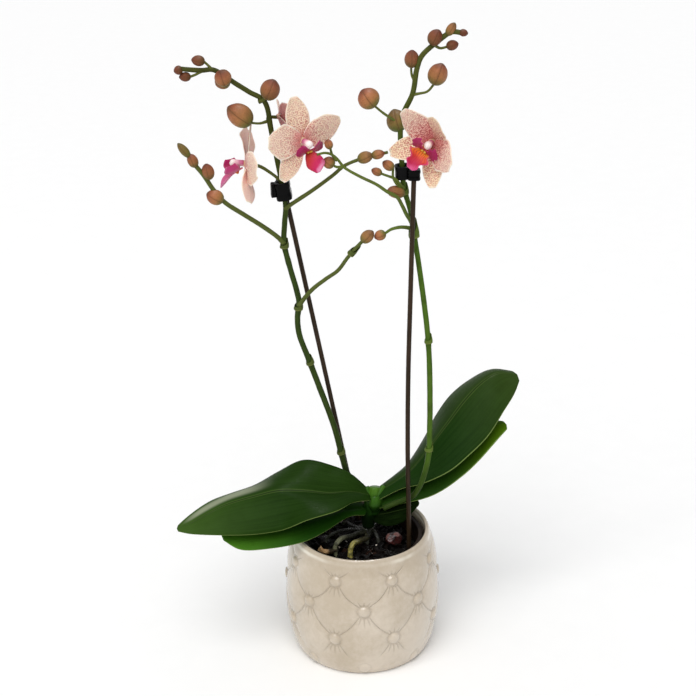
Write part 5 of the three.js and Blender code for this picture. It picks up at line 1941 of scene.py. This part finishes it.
@dataclass
class Bloom:
    """An open flower: five tepals round a hub, the three-lobed lip and the column."""

    name: str
    heart: Triple
    facing: Triple
    top: Triple
    size: float
    lip_facing: Triple
    leans: dict[str, float]
    seed: int
    look: Look
    twists: dict[str, float] = field(default_factory=dict)
    swings: dict[str, float] = field(default_factory=dict)
    tepal_wall: float = 0.55
    lip_wall: float = 0.6
    stalk_radius: tuple[float, float] = (1.0, 1.25)

    def axes(self, facing: Triple) -> Matrix:
        """Gives a frame in millimetres: +Z the way something faces and +Y to the top sepal."""
        outward = Vector(facing).normalized()
        right = Vector(self.top).cross(outward).normalized()
        turn = Matrix((right, outward.cross(right), outward)).transposed().to_4x4()
        return Matrix.Translation(Vector(self.heart)) @ turn @ Matrix.Scale(self.size, 4)

    @cached_property
    def frame(self) -> Matrix:
        """The frame of the sepals and petals."""
        return self.axes(self.facing)

    @cached_property
    def lip_frame(self) -> Matrix:
        """The frame of the lip and the column."""
        return self.axes(self.lip_facing)

    @property
    def scale_of_walls(self) -> float:
        """How thick its sheets are, beside those of a full-grown flower."""
        return max(self.size, 0.8)

    def traced(self, frame: Matrix, points: Sequence[Triple]) -> Route:
        """Moves points from one of its frames to their place on the plant."""
        return Route(tuple(tuple(frame @ Vector(point)) for point in points))

    def stalk(self, points: tuple[Triple, ...]) -> Branch:
        """Gives its stalk, which runs from the spike through the points to the back of its hub."""
        back = Vector(self.heart) - Vector(self.facing).normalized() * (3 * self.size + 0.2)
        return Branch(self.stalk_radius, (*points, tuple(back)))

    def tepals(self) -> None:
        """Lays the sepals and petals."""
        weave = Weave()
        for number, (place, plain) in enumerate(TEPALS.items()):
            spec = replace(plain, turn=plain.turn + self.swings.get(place, 0.0))
            own = spec.place(self.leans[place], self.twists.get(place, 0.0), self.seed + 1.7 * number)
            angle, lean = math.radians(spec.turn), math.radians(self.leans[place])
            inward = -math.sin(lean)
            front = Vector((inward * math.cos(angle), inward * math.sin(angle), math.cos(lean)))
            weave.grid(18, 20, lambda along, across: self.frame @ own(along, across),
                       finish=0 if spec.ruffle else 2, front=self.frame.to_3x3() @ front)
        dress = self.look.value
        finishes = [dress.petal, dress.back, dress.sepal, dress.back]
        piece = Spot(f"{self.name}_tepals", "tepal").settle(f"{self.name}_perianth", weave.shape, finishes)
        thicken(piece, self.tepal_wall * self.scale_of_walls, back=1)

    def hub(self) -> None:
        """Makes the short neck behind the tepals, where they join."""
        def reach(along: float, across: float) -> float:
            """Swells in the middle."""
            return self.size * (1.5 + 1.5 * math.sin(math.pi * (0.15 + 0.7 * along)))

        weave = Weave()
        route = self.traced(self.frame, ((0, 0, -2.9), (0, 0, -1.6), (0, 0, 0.6), (0, 0, 1.9)))
        weave.tube(route, reach, 20, 10)
        Spot(f"{self.name}_tepals", "tepal").settle(f"{self.name}_neck", weave.shape, [NECK])

    def lobe(self, weave: Weave, points: tuple[Triple, ...], halves: Sequence[float], spread: Triple,
             curl: Triple, front: Triple, finish: int, ruffle: float) -> None:
        """Lays one lobe of the lip.

        Args:
            weave: The mesh it joins.
            points: Its middle line in the lip's frame.
            halves: Its half widths from root to tip.
            spread: The way across it.
            curl: The way its sides bend.
            front: The way its inner face looks.
            finish: Its material number.
            ruffle: How far its edge waves.
        """
        line = Route(points)
        widths = Route(tuple((float(i), half, 0.0) for i, half in enumerate(halves)))
        wide, bend = Vector(spread), Vector(curl)
        uneven = 0.26 * self.look.value.ripe

        def surface(along: float, across: float) -> Vector:
            """Puts a point of the lobe in place."""
            side = 2 * across - 1
            ragged = 1 + uneven * math.sin(20 * along + 2.5 * side) * ease(0.25, 0.5, along)
            half = max(widths.at(along).y, 0.4) * ragged
            wave = ruffle * side * side * math.sin(19 * along + 3 * side) * ease(0.1, 0.5, along)
            point = line.at(along) + wide * (side * half) + bend * (side * side * half + wave)
            return self.lip_frame @ point

        weave.grid(16, 20, surface, finish=finish, front=self.lip_frame.to_3x3() @ Vector(front))

    def lip(self) -> None:
        """Makes the lip: keeled middle lobe and a lobe at each side."""
        weave, dress = Weave(), self.look.value
        self.lobe(weave, ((0, -2.9, 2.2), (0, -5.2, 6), (0, -8.2, 10), (0, -12.7, 13.5), (0, -17, 17)),
                  (1.6, 4.2, 7.2, 5.2, 2.6) if dress.ripe else (1.2, 2, 5.4, 6.8, 1.2),
                  (1, 0, 0), (0, 0.2, 0.3), (0, 0.3, 1), 0, 0.35)
        for hand in (-1, 1):
            line = ((hand * 0.6, -5.2, 6.5), (hand * 4, -4.8, 8.2),
                    (hand * 6.8, -2.6, 9.6), (hand * 8, 1, 10.6))
            halves = (3, 5.2, 5.4, 3.4) if dress.broad else (2, 3.8, 5, 2.8)
            spread = (-0.35 * hand, 0.35, -0.9) if dress.broad else (-0.6 * hand, 0.62, 0.5)
            self.lobe(weave, line, halves, spread, (0, 0.1, 0.15), (-hand, 0.3, 0.5), 1, 0.3)
        finishes = [dress.tongue, LIP_INNER, LIP_UNDER, dress.side]
        piece = Spot(f"{self.name}_lip", "lip").settle(f"{self.name}_labellum", weave.shape, finishes)
        thicken(piece, self.lip_wall * self.scale_of_walls, back=2)

    def callus(self) -> None:
        """Makes the two-horned yellow callus."""
        def reach(along: float, across: float) -> float:
            """Narrows to the horn's tip."""
            return self.size * (1.35 - 0.85 * along ** 2)

        weave = Weave()
        for hand in (-1, 1):
            horn = ((hand * 0.7, -5.7, 5.2), (hand * 0.9, -5.2, 7.2), (hand * 1.3, -4.6, 9.2))
            weave.tube(self.traced(self.lip_frame, horn), reach, 14, 10)
        Spot(f"{self.name}_lip", "lip").settle(f"{self.name}_callus", weave.shape, [CALLUS])

    def column(self) -> None:
        """Makes the column with its white cap."""
        def reach(along: float, across: float) -> float:
            """Swells to the cap, with a hollow under it."""
            swell = 2.15 + 0.55 * bell(along - 0.74, 0.24)
            hollow = 0.5 * bell(along - 0.82, 0.1) * bell((across - 0.25) % 1.0 - 0.5, 0.18)
            return self.size * (swell - hollow) * math.sqrt(1 - ease(0.82, 1.02, along) * 0.93)

        weave = Weave()
        route = self.traced(self.lip_frame, ((0, 0.4, 2.0), (0, 0.5, 5.0), (0, 0.4, 8.5), (0, 0.0, 11.3)))
        weave.tube(route, reach, 24, 24)
        Spot(f"{self.name}_column", "column").settle(f"{self.name}_gynostemium", weave.shape, [COLUMN])

    def build(self) -> None:
        """Makes the whole flower."""
        self.tepals()
        self.hub()
        self.lip()
        self.callus()
        self.column()


BLOOMS = (
    Bloom("flower_left_front", (-35.5, -8, 393.6), (0.53, -0.84, 0.05), (-0.17, 0, 1), 1, (0.5, -0.86, -0.08),
          {"top": -4, "lowLeft": 4, "lowRight": -62, "right": 11, "left": 8}, 1, Look.FRESH, {"right": 26}),
    Bloom("flower_left_side", (-74.5, 6, 375), (-0.985, -0.08, 0.06), (0.06, 0, 1), 1, (-0.985, -0.12, 0.06),
          {"top": -4, "lowLeft": 4, "lowRight": -3, "right": -14, "left": -4}, 2, Look.BROAD,
          {"lowRight": 45, "left": -30}, {"left": -22, "right": -12}),
    Bloom("flower_left_back", (-51.8, 15, 405), (0.93, 0.3, 0.2), (-0.3, 0, 1), 0.64, (0.93, 0.3, 0.2),
          {"top": 82, "lowLeft": 10, "lowRight": 10, "right": 16, "left": 16}, 3, Look.SHADED_BACK),
    Bloom("flower_right_front", (49.3, -10, 392), (-0.51, -0.84, 0.15), (0.55, -0.19, 0.81), 1,
          (-0.36, -0.93, 0), {"top": 44, "lowLeft": 13, "lowRight": 10, "right": 28, "left": 28}, 4,
          Look.RIPE, {"left": -26, "right": 20}, {"lowLeft": 10, "right": -11}),
)


SPIKE_LEFT = Spike(
    "spike_left", (2.35, 1.6),
    ((-1, 15, 106), (-3.5, 18, 113), (-7, 19.5, 123), (-11, 20, 133), (-19, 18, 170), (-29.5, 15, 205),
     (-37, 12.5, 229.5), (-42.5, 10, 248), (-43.5, 9, 261.5), (-42, 8.5, 273), (-43.5, 8, 283),
     (-47.5, 7, 300), (-51, 6, 318.5), (-50, 5, 334), (-49, 4.5, 346), (-53.5, 3, 378), (-56.5, 2, 397),
     (-60.5, 1, 418.5), (-70, 0, 425), (-78, -1, 430.5), (-92.5, -3, 440.5), (-100, -4, 440.5),
     (-113.5, -6, 442)),
    (
        Branch((1.7, 1.5), ((-51, 6, 318.5), (-56, 3.5, 324.5), (-66, 0, 333.5), (-77, -4, 342.5),
                            (-89, -8, 352.5), (-95.5, -9.5, 361), (-102, -11, 372.5), (-108, -12, 381),
                            (-113, -13, 390), (-116, -13.5, 393))),
        Branch((1.5, 1.0), ((-49, 4.5, 344), (-43, 1, 349), (-29.5, -3, 359), (-16, -5, 369.5),
                            (-8.5, -6, 376), (1.5, -7, 380.5), (10.5, -8, 383), (20.5, -6.5, 385))),
        Branch((1.6, 1.2), ((-42, 8, 271.5), (-36, 3, 281), (-31, 1, 287), (-22, -2, 295), (-14, -4, 301.5),
                            (-7.5, -6, 311), (-1.5, -8, 319), (4, -9, 325))),
        Branch((1.3, 1.1), ((-64, 0.8, 418.5), (-61.5, 0, 419.5), (-58, -2.4, 422.5))),
        Branch((0.9, 0.8), ((-59, 1.5, 405), (-64, -2, 404.5), (-70, -4, 405.5))),
        Branch((0.9, 0.8), ((-93, -3, 440), (-95, -4, 443), (-98.5, -4, 446.5))),
        Branch((0.9, 0.8), ((-99, -4, 440.5), (-104, -5, 438), (-108, -5, 436.5))),
    ),
    (
        BLOOMS[0].stalk(((-56, 2, 392), (-50, -0.5, 396), (-43, -3, 396.5))),
        BLOOMS[1].stalk(((-52, 3.5, 364), (-58, 6.5, 368), (-65, 7, 372.5))),
        BLOOMS[2].stalk(((-58, 1.7, 405), (-59, 6, 406), (-57.5, 11, 405.5))),
    ),
    (
        Bud((-59, -2, 420.5), (-53, -5, 434), 6.2, 0.5), Bud((-69, -4, 404.8), (-84.5, -4.5, 416.5), 7.3),
        Bud((-85, -4, 431.5), (-87.5, -10, 441), 5.4, 0.3), Bud((-83, -2, 433), (-92, 3.5, 431), 5, 0.3),
        Bud((-97.5, -4, 446), (-106.5, -4, 447.5), 3.4, 0.75),
        Bud((-112, -6, 441.8), (-118, -6, 440.5), 2.9, 0.9),
        Bud((-107, -5, 436.7), (-115, -5, 436.5), 3, 0.85), Bud((-90, -8.5, 353.5), (-100.5, -11.5, 360), 5),
        Bud((-97.8, -10, 369), (-100, -12, 380.5), 4, 0.5),
        Bud((-106.5, -12, 378), (-110.5, -12.5, 387.5), 3.4, 0.4),
        Bud((-110, -12.6, 385), (-117.5, -13.6, 395), 2.7, -0.55),
        Bud((0.5, -7, 380), (10.5, -10, 384.5), 3.9, -0.4),
        Bud((9.5, -8.5, 383), (18.5, -9.5, 385.5), 3.1, 0.2),
        Bud((2.5, -9, 323.5), (10.4, -9.8, 331.6), 4, -0.35),
    ),
    (
        Scale((-14.3, 19.3, 148), (-15.8, 19, 155), 2.9), Scale((-35.2, 13.1, 224), (-37.3, 12.4, 231), 2.7),
        Scale((-42.6, 8.7, 268), (-42.4, 8.4, 276), 2.9), Scale((-50.8, 6, 315), (-51, 5.9, 322), 2.8),
        Scale((-5.5, -6.7, 313.7), (0.5, -8.4, 321.5), 2.7),
    ),
    StemFinish("stem_dark"),
)
SPIKE_RIGHT = Spike(
    "spike_right", (2.1, 1.7),
    ((16.5, 0.8, 111.2), (24, 0.6, 115), (31.5, -0.5, 118.5), (37.5, -2, 122.5), (42.5, -3.5, 130.5),
     (46.5, -4.5, 143), (49.4, -5, 159), (50, -5, 182), (50, -4.5, 205), (49, -3, 240.5), (47, -2, 263),
     (41.5, 2, 305), (37.5, 4, 330), (36, 4, 341), (31.5, 2, 358), (30.5, 0.5, 370), (29, 0, 398.5),
     (30.5, -1, 408.5), (37, -3, 423.5), (39.5, -5, 439.5), (42.5, -6, 448), (53, -8, 458), (61.5, -10, 464),
     (68, -11, 463.5)),
    (
        Branch((1.4, 0.8), ((37, 4, 333), (33.5, 0.5, 339), (30, -4, 347.5), (26.5, -8, 354.5),
                            (19.5, -11, 359.5), (13, -12, 364.5), (1, -13, 371), (-8.5, -13, 377),
                            (-13, -14, 383), (-16.5, -16, 386.5), (-21, -19, 388.5), (-26, -21, 388))),
        Branch((1.5, 0.9), ((37.7, 4, 328), (33, 0, 330.5), (28, -3.5, 331.8), (22, -6, 331),
                            (18, -7.5, 328.5))),
        Branch((1.1, 0.8), ((31.8, 2, 357), (29, -2.5, 361.5), (25, -5, 366.5), (20, -6, 368.8),
                            (15.5, -7, 370.8))),
        Branch((0.9, 0.8), ((29.4, 0, 402.5), (22.7, -3, 407), (17, -5, 411.5), (12, -6, 416))),
        Branch((0.9, 0.8), ((37, -3, 422.5), (41.5, -4.5, 423.5), (46.5, -5.5, 425), (50.8, -6, 430))),
        Branch((0.9, 0.8), ((38.5, -4.2, 431.5), (36.4, -3.4, 435), (35.8, -3, 441))),
        Branch((0.9, 0.8), ((50, -7.5, 456), (54, -8.5, 453.5), (59, -9, 454.5))),
        Branch((0.9, 0.8), ((-13, -14, 382), (-16, -14.5, 385.5), (-17.5, -15.5, 391))),
        Branch((0.9, 0.8), ((-9, -13, 377.5), (-13, -13.5, 377.3), (-16, -13.5, 378.6))),
        Branch((0.9, 0.8), ((31.5, 1.5, 357.5), (27, -3.5, 361.5), (24, -5.5, 367.5), (24, -5.3, 373.8))),
    ),
    (BLOOMS[3].stalk(((29.5, 0, 389), (38, 5, 391.5), (48, 5, 391.5), (53, -1, 391))),),
    (
        Bud((12.3, -6, 415.5), (3.5, -7, 427), 7), Bud((29, 2, 396.5), (24.5, 6, 411), 6.8, -0.5),
        Bud((36, -3, 440), (36.5, -4.5, 452), 4.6, 0.6), Bud((50.3, -6, 429.3), (56, -7, 443.5), 6.2, 0.25),
        Bud((48.5, -7.3, 455.5), (53.5, -10, 465.5), 4.6, 0.7),
        Bud((58.5, -9.2, 461.6), (63.5, -11, 470), 2.9, -0.3),
        Bud((58, -9, 454.3), (66, -9.5, 456.5), 3.2, 0.9), Bud((66, -11, 464), (71.8, -11.5, 463), 2.3, 1.0),
        Bud((24.5, -5, 373), (17, -5, 378.3), 3.3), Bud((16.5, -7, 370.3), (9.5, -8, 373.8), 2.7, 0.2),
        Bud((32, 1.8, 354), (20, -5, 358.3), 4.2, -0.2),
        Bud((-17.3, -15.3, 390), (-19.5, -16, 396.8), 2.7, 0.2),
        Bud((-15, -13.2, 378), (-22.2, -12.6, 382.6), 4, 0.2), Bud((19, -7, 329), (11, -8, 326), 3.5),
    ),
    (
        Scale((49.5, -5, 162), (49.8, -5, 169), 2.7), Scale((48.8, -2.8, 246), (48.2, -2.5, 253), 2.6),
        Scale((38.8, 3.4, 322), (36.7, 4.2, 336), 3.4), Scale((32.3, 2.4, 353.5), (31.3, 1.8, 361.5), 2.5),
    ),
    StemFinish("stem_bright", "42601c", "4a4b22", "1d3010"),
)


@dataclass
class Clip:
    """A snap clip: a ribbed loop round the spike, one round the cane, a bridge and two finger tabs."""

    name: str
    spike: Spike
    stake: Stake
    level: float
    height: float
    loop: float
    tabs: tuple[Triple, ...]
    hole: float = 2.3
    slack: float = 0.25
    rounding: float = 0.4
    rib: float = 0.35
    section: tuple[tuple[float, float], ...] = (
        (0.0, 0.06), (0.0, 0.5), (0.0, 0.94), (0.25, 1.0), (0.8, 1.0), (0.95, 0.97), (1.0, 0.92), (1.0, 0.72),
        (0.9, 0.66), (0.86, 0.5), (0.9, 0.34), (1.0, 0.28), (1.0, 0.08), (0.95, 0.03), (0.8, 0.0),
        (0.25, 0.0), (0.0, 0.06),
    )

    def sleeve(self, weave: Weave, route: Route, hole: float, outer: float) -> None:
        """Makes one ribbed loop round a stem.

        Args:
            weave: The mesh it joins.
            route: The stem's centre line.
            hole: Its inner radius.
            outer: Its outer radius.
        """
        low, high = route.level(self.level - self.height / 2), route.level(self.level + self.height / 2)
        axis = (high - low).normalized()
        side = axis.orthogonal()
        length = (high - low).length
        cells = len(self.section) - 1

        def place(along: float, across: float) -> Vector:
            """Walks round the section, and round the stem."""
            depth, rise = self.section[round(along * cells)]
            out = blend(hole, outer - 0.3, depth) + self.rib * math.cos(8 * math.pi * across) * depth
            return low + axis * (length * rise) + around(side, axis.cross(side), across) * out

        weave.grid(72, cells, place, closed=True)

    def block(self, weave: Weave, start: Vector, end: Vector, width: float, height: float) -> None:
        """Makes a bevelled bar.

        Args:
            weave: The mesh it joins.
            start: The middle of one end.
            end: The middle of the other end.
            width: Its width.
            height: Its height.
        """
        ahead = (end - start).normalized()
        right = ahead.cross(Vector((0, 0, 1))).normalized()
        turn = Matrix((right, ahead, right.cross(ahead))).transposed().to_4x4()
        size = Matrix.Diagonal((width * MM, (end - start).length * MM, height * MM, 1))
        place = Matrix.Translation((start + end) / 2 * MM) @ turn @ size
        weave.bevel(bmesh.ops.create_cube(weave.shape, size=1.0, matrix=place)["verts"], self.rounding, 3)

    def build(self) -> None:
        """Makes the loops, the bridge and the tabs."""
        weave, cane = Weave(), Route(self.stake.points)
        self.sleeve(weave, self.spike.route, self.hole, self.loop)
        self.sleeve(weave, cane, self.stake.radius + self.slack, self.loop - 0.6)
        middle, other = self.spike.route.level(self.level), cane.level(self.level)
        between = (other - middle).normalized()
        self.block(weave, middle + between * 2.6, other - between * 2.2, 3.0, self.height * 0.86)
        for tab in self.tabs:
            way = Vector(tab)
            self.block(weave, middle + way.normalized() * 2.6, middle + way, 1.8, self.height * 0.8)
            self.block(weave, middle + way * 0.86, middle + way, 2.8, self.height * 0.72)
        crisp(Spot(self.name, "clip").settle(f"{self.name}_body", weave.shape, [Plastic("clip_black")]), 38)


def clear_startup() -> None:
    """Removes whatever the startup file held beside the frame."""
    kept = {*frame["nodes"].values(), *frame["bodies"].values()}
    for thing in list(bpy.data.objects):
        if thing not in kept:
            bpy.data.objects.remove(thing)


def main() -> None:
    """Builds the stage and every piece."""
    logging.basicConfig(level=logging.INFO, format="%(message)s")
    clear_startup()
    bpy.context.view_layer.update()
    cup = NurseryPot()
    for piece in (
        Studio(), CeramicPot(), cup, Bark(cup), Nugget(), Roots(), Crown(), *LEAVES,
        STAKE_LEFT, STAKE_RIGHT, SPIKE_LEFT, SPIKE_RIGHT,
        Clip("clip_left", SPIKE_LEFT, STAKE_LEFT, 357, 12, 4.4, ((-8, -3, 0), (-8.5, 2, 0))),
        Clip("clip_right", SPIKE_RIGHT, STAKE_RIGHT, 369.5, 9, 4.2, ((-4.8, -1.5, 0), (-4.5, 2.5, 0))),
        *BLOOMS,
    ):
        piece.build()
    LOG.info("boxes written")


if __name__ == "__main__":
    main()
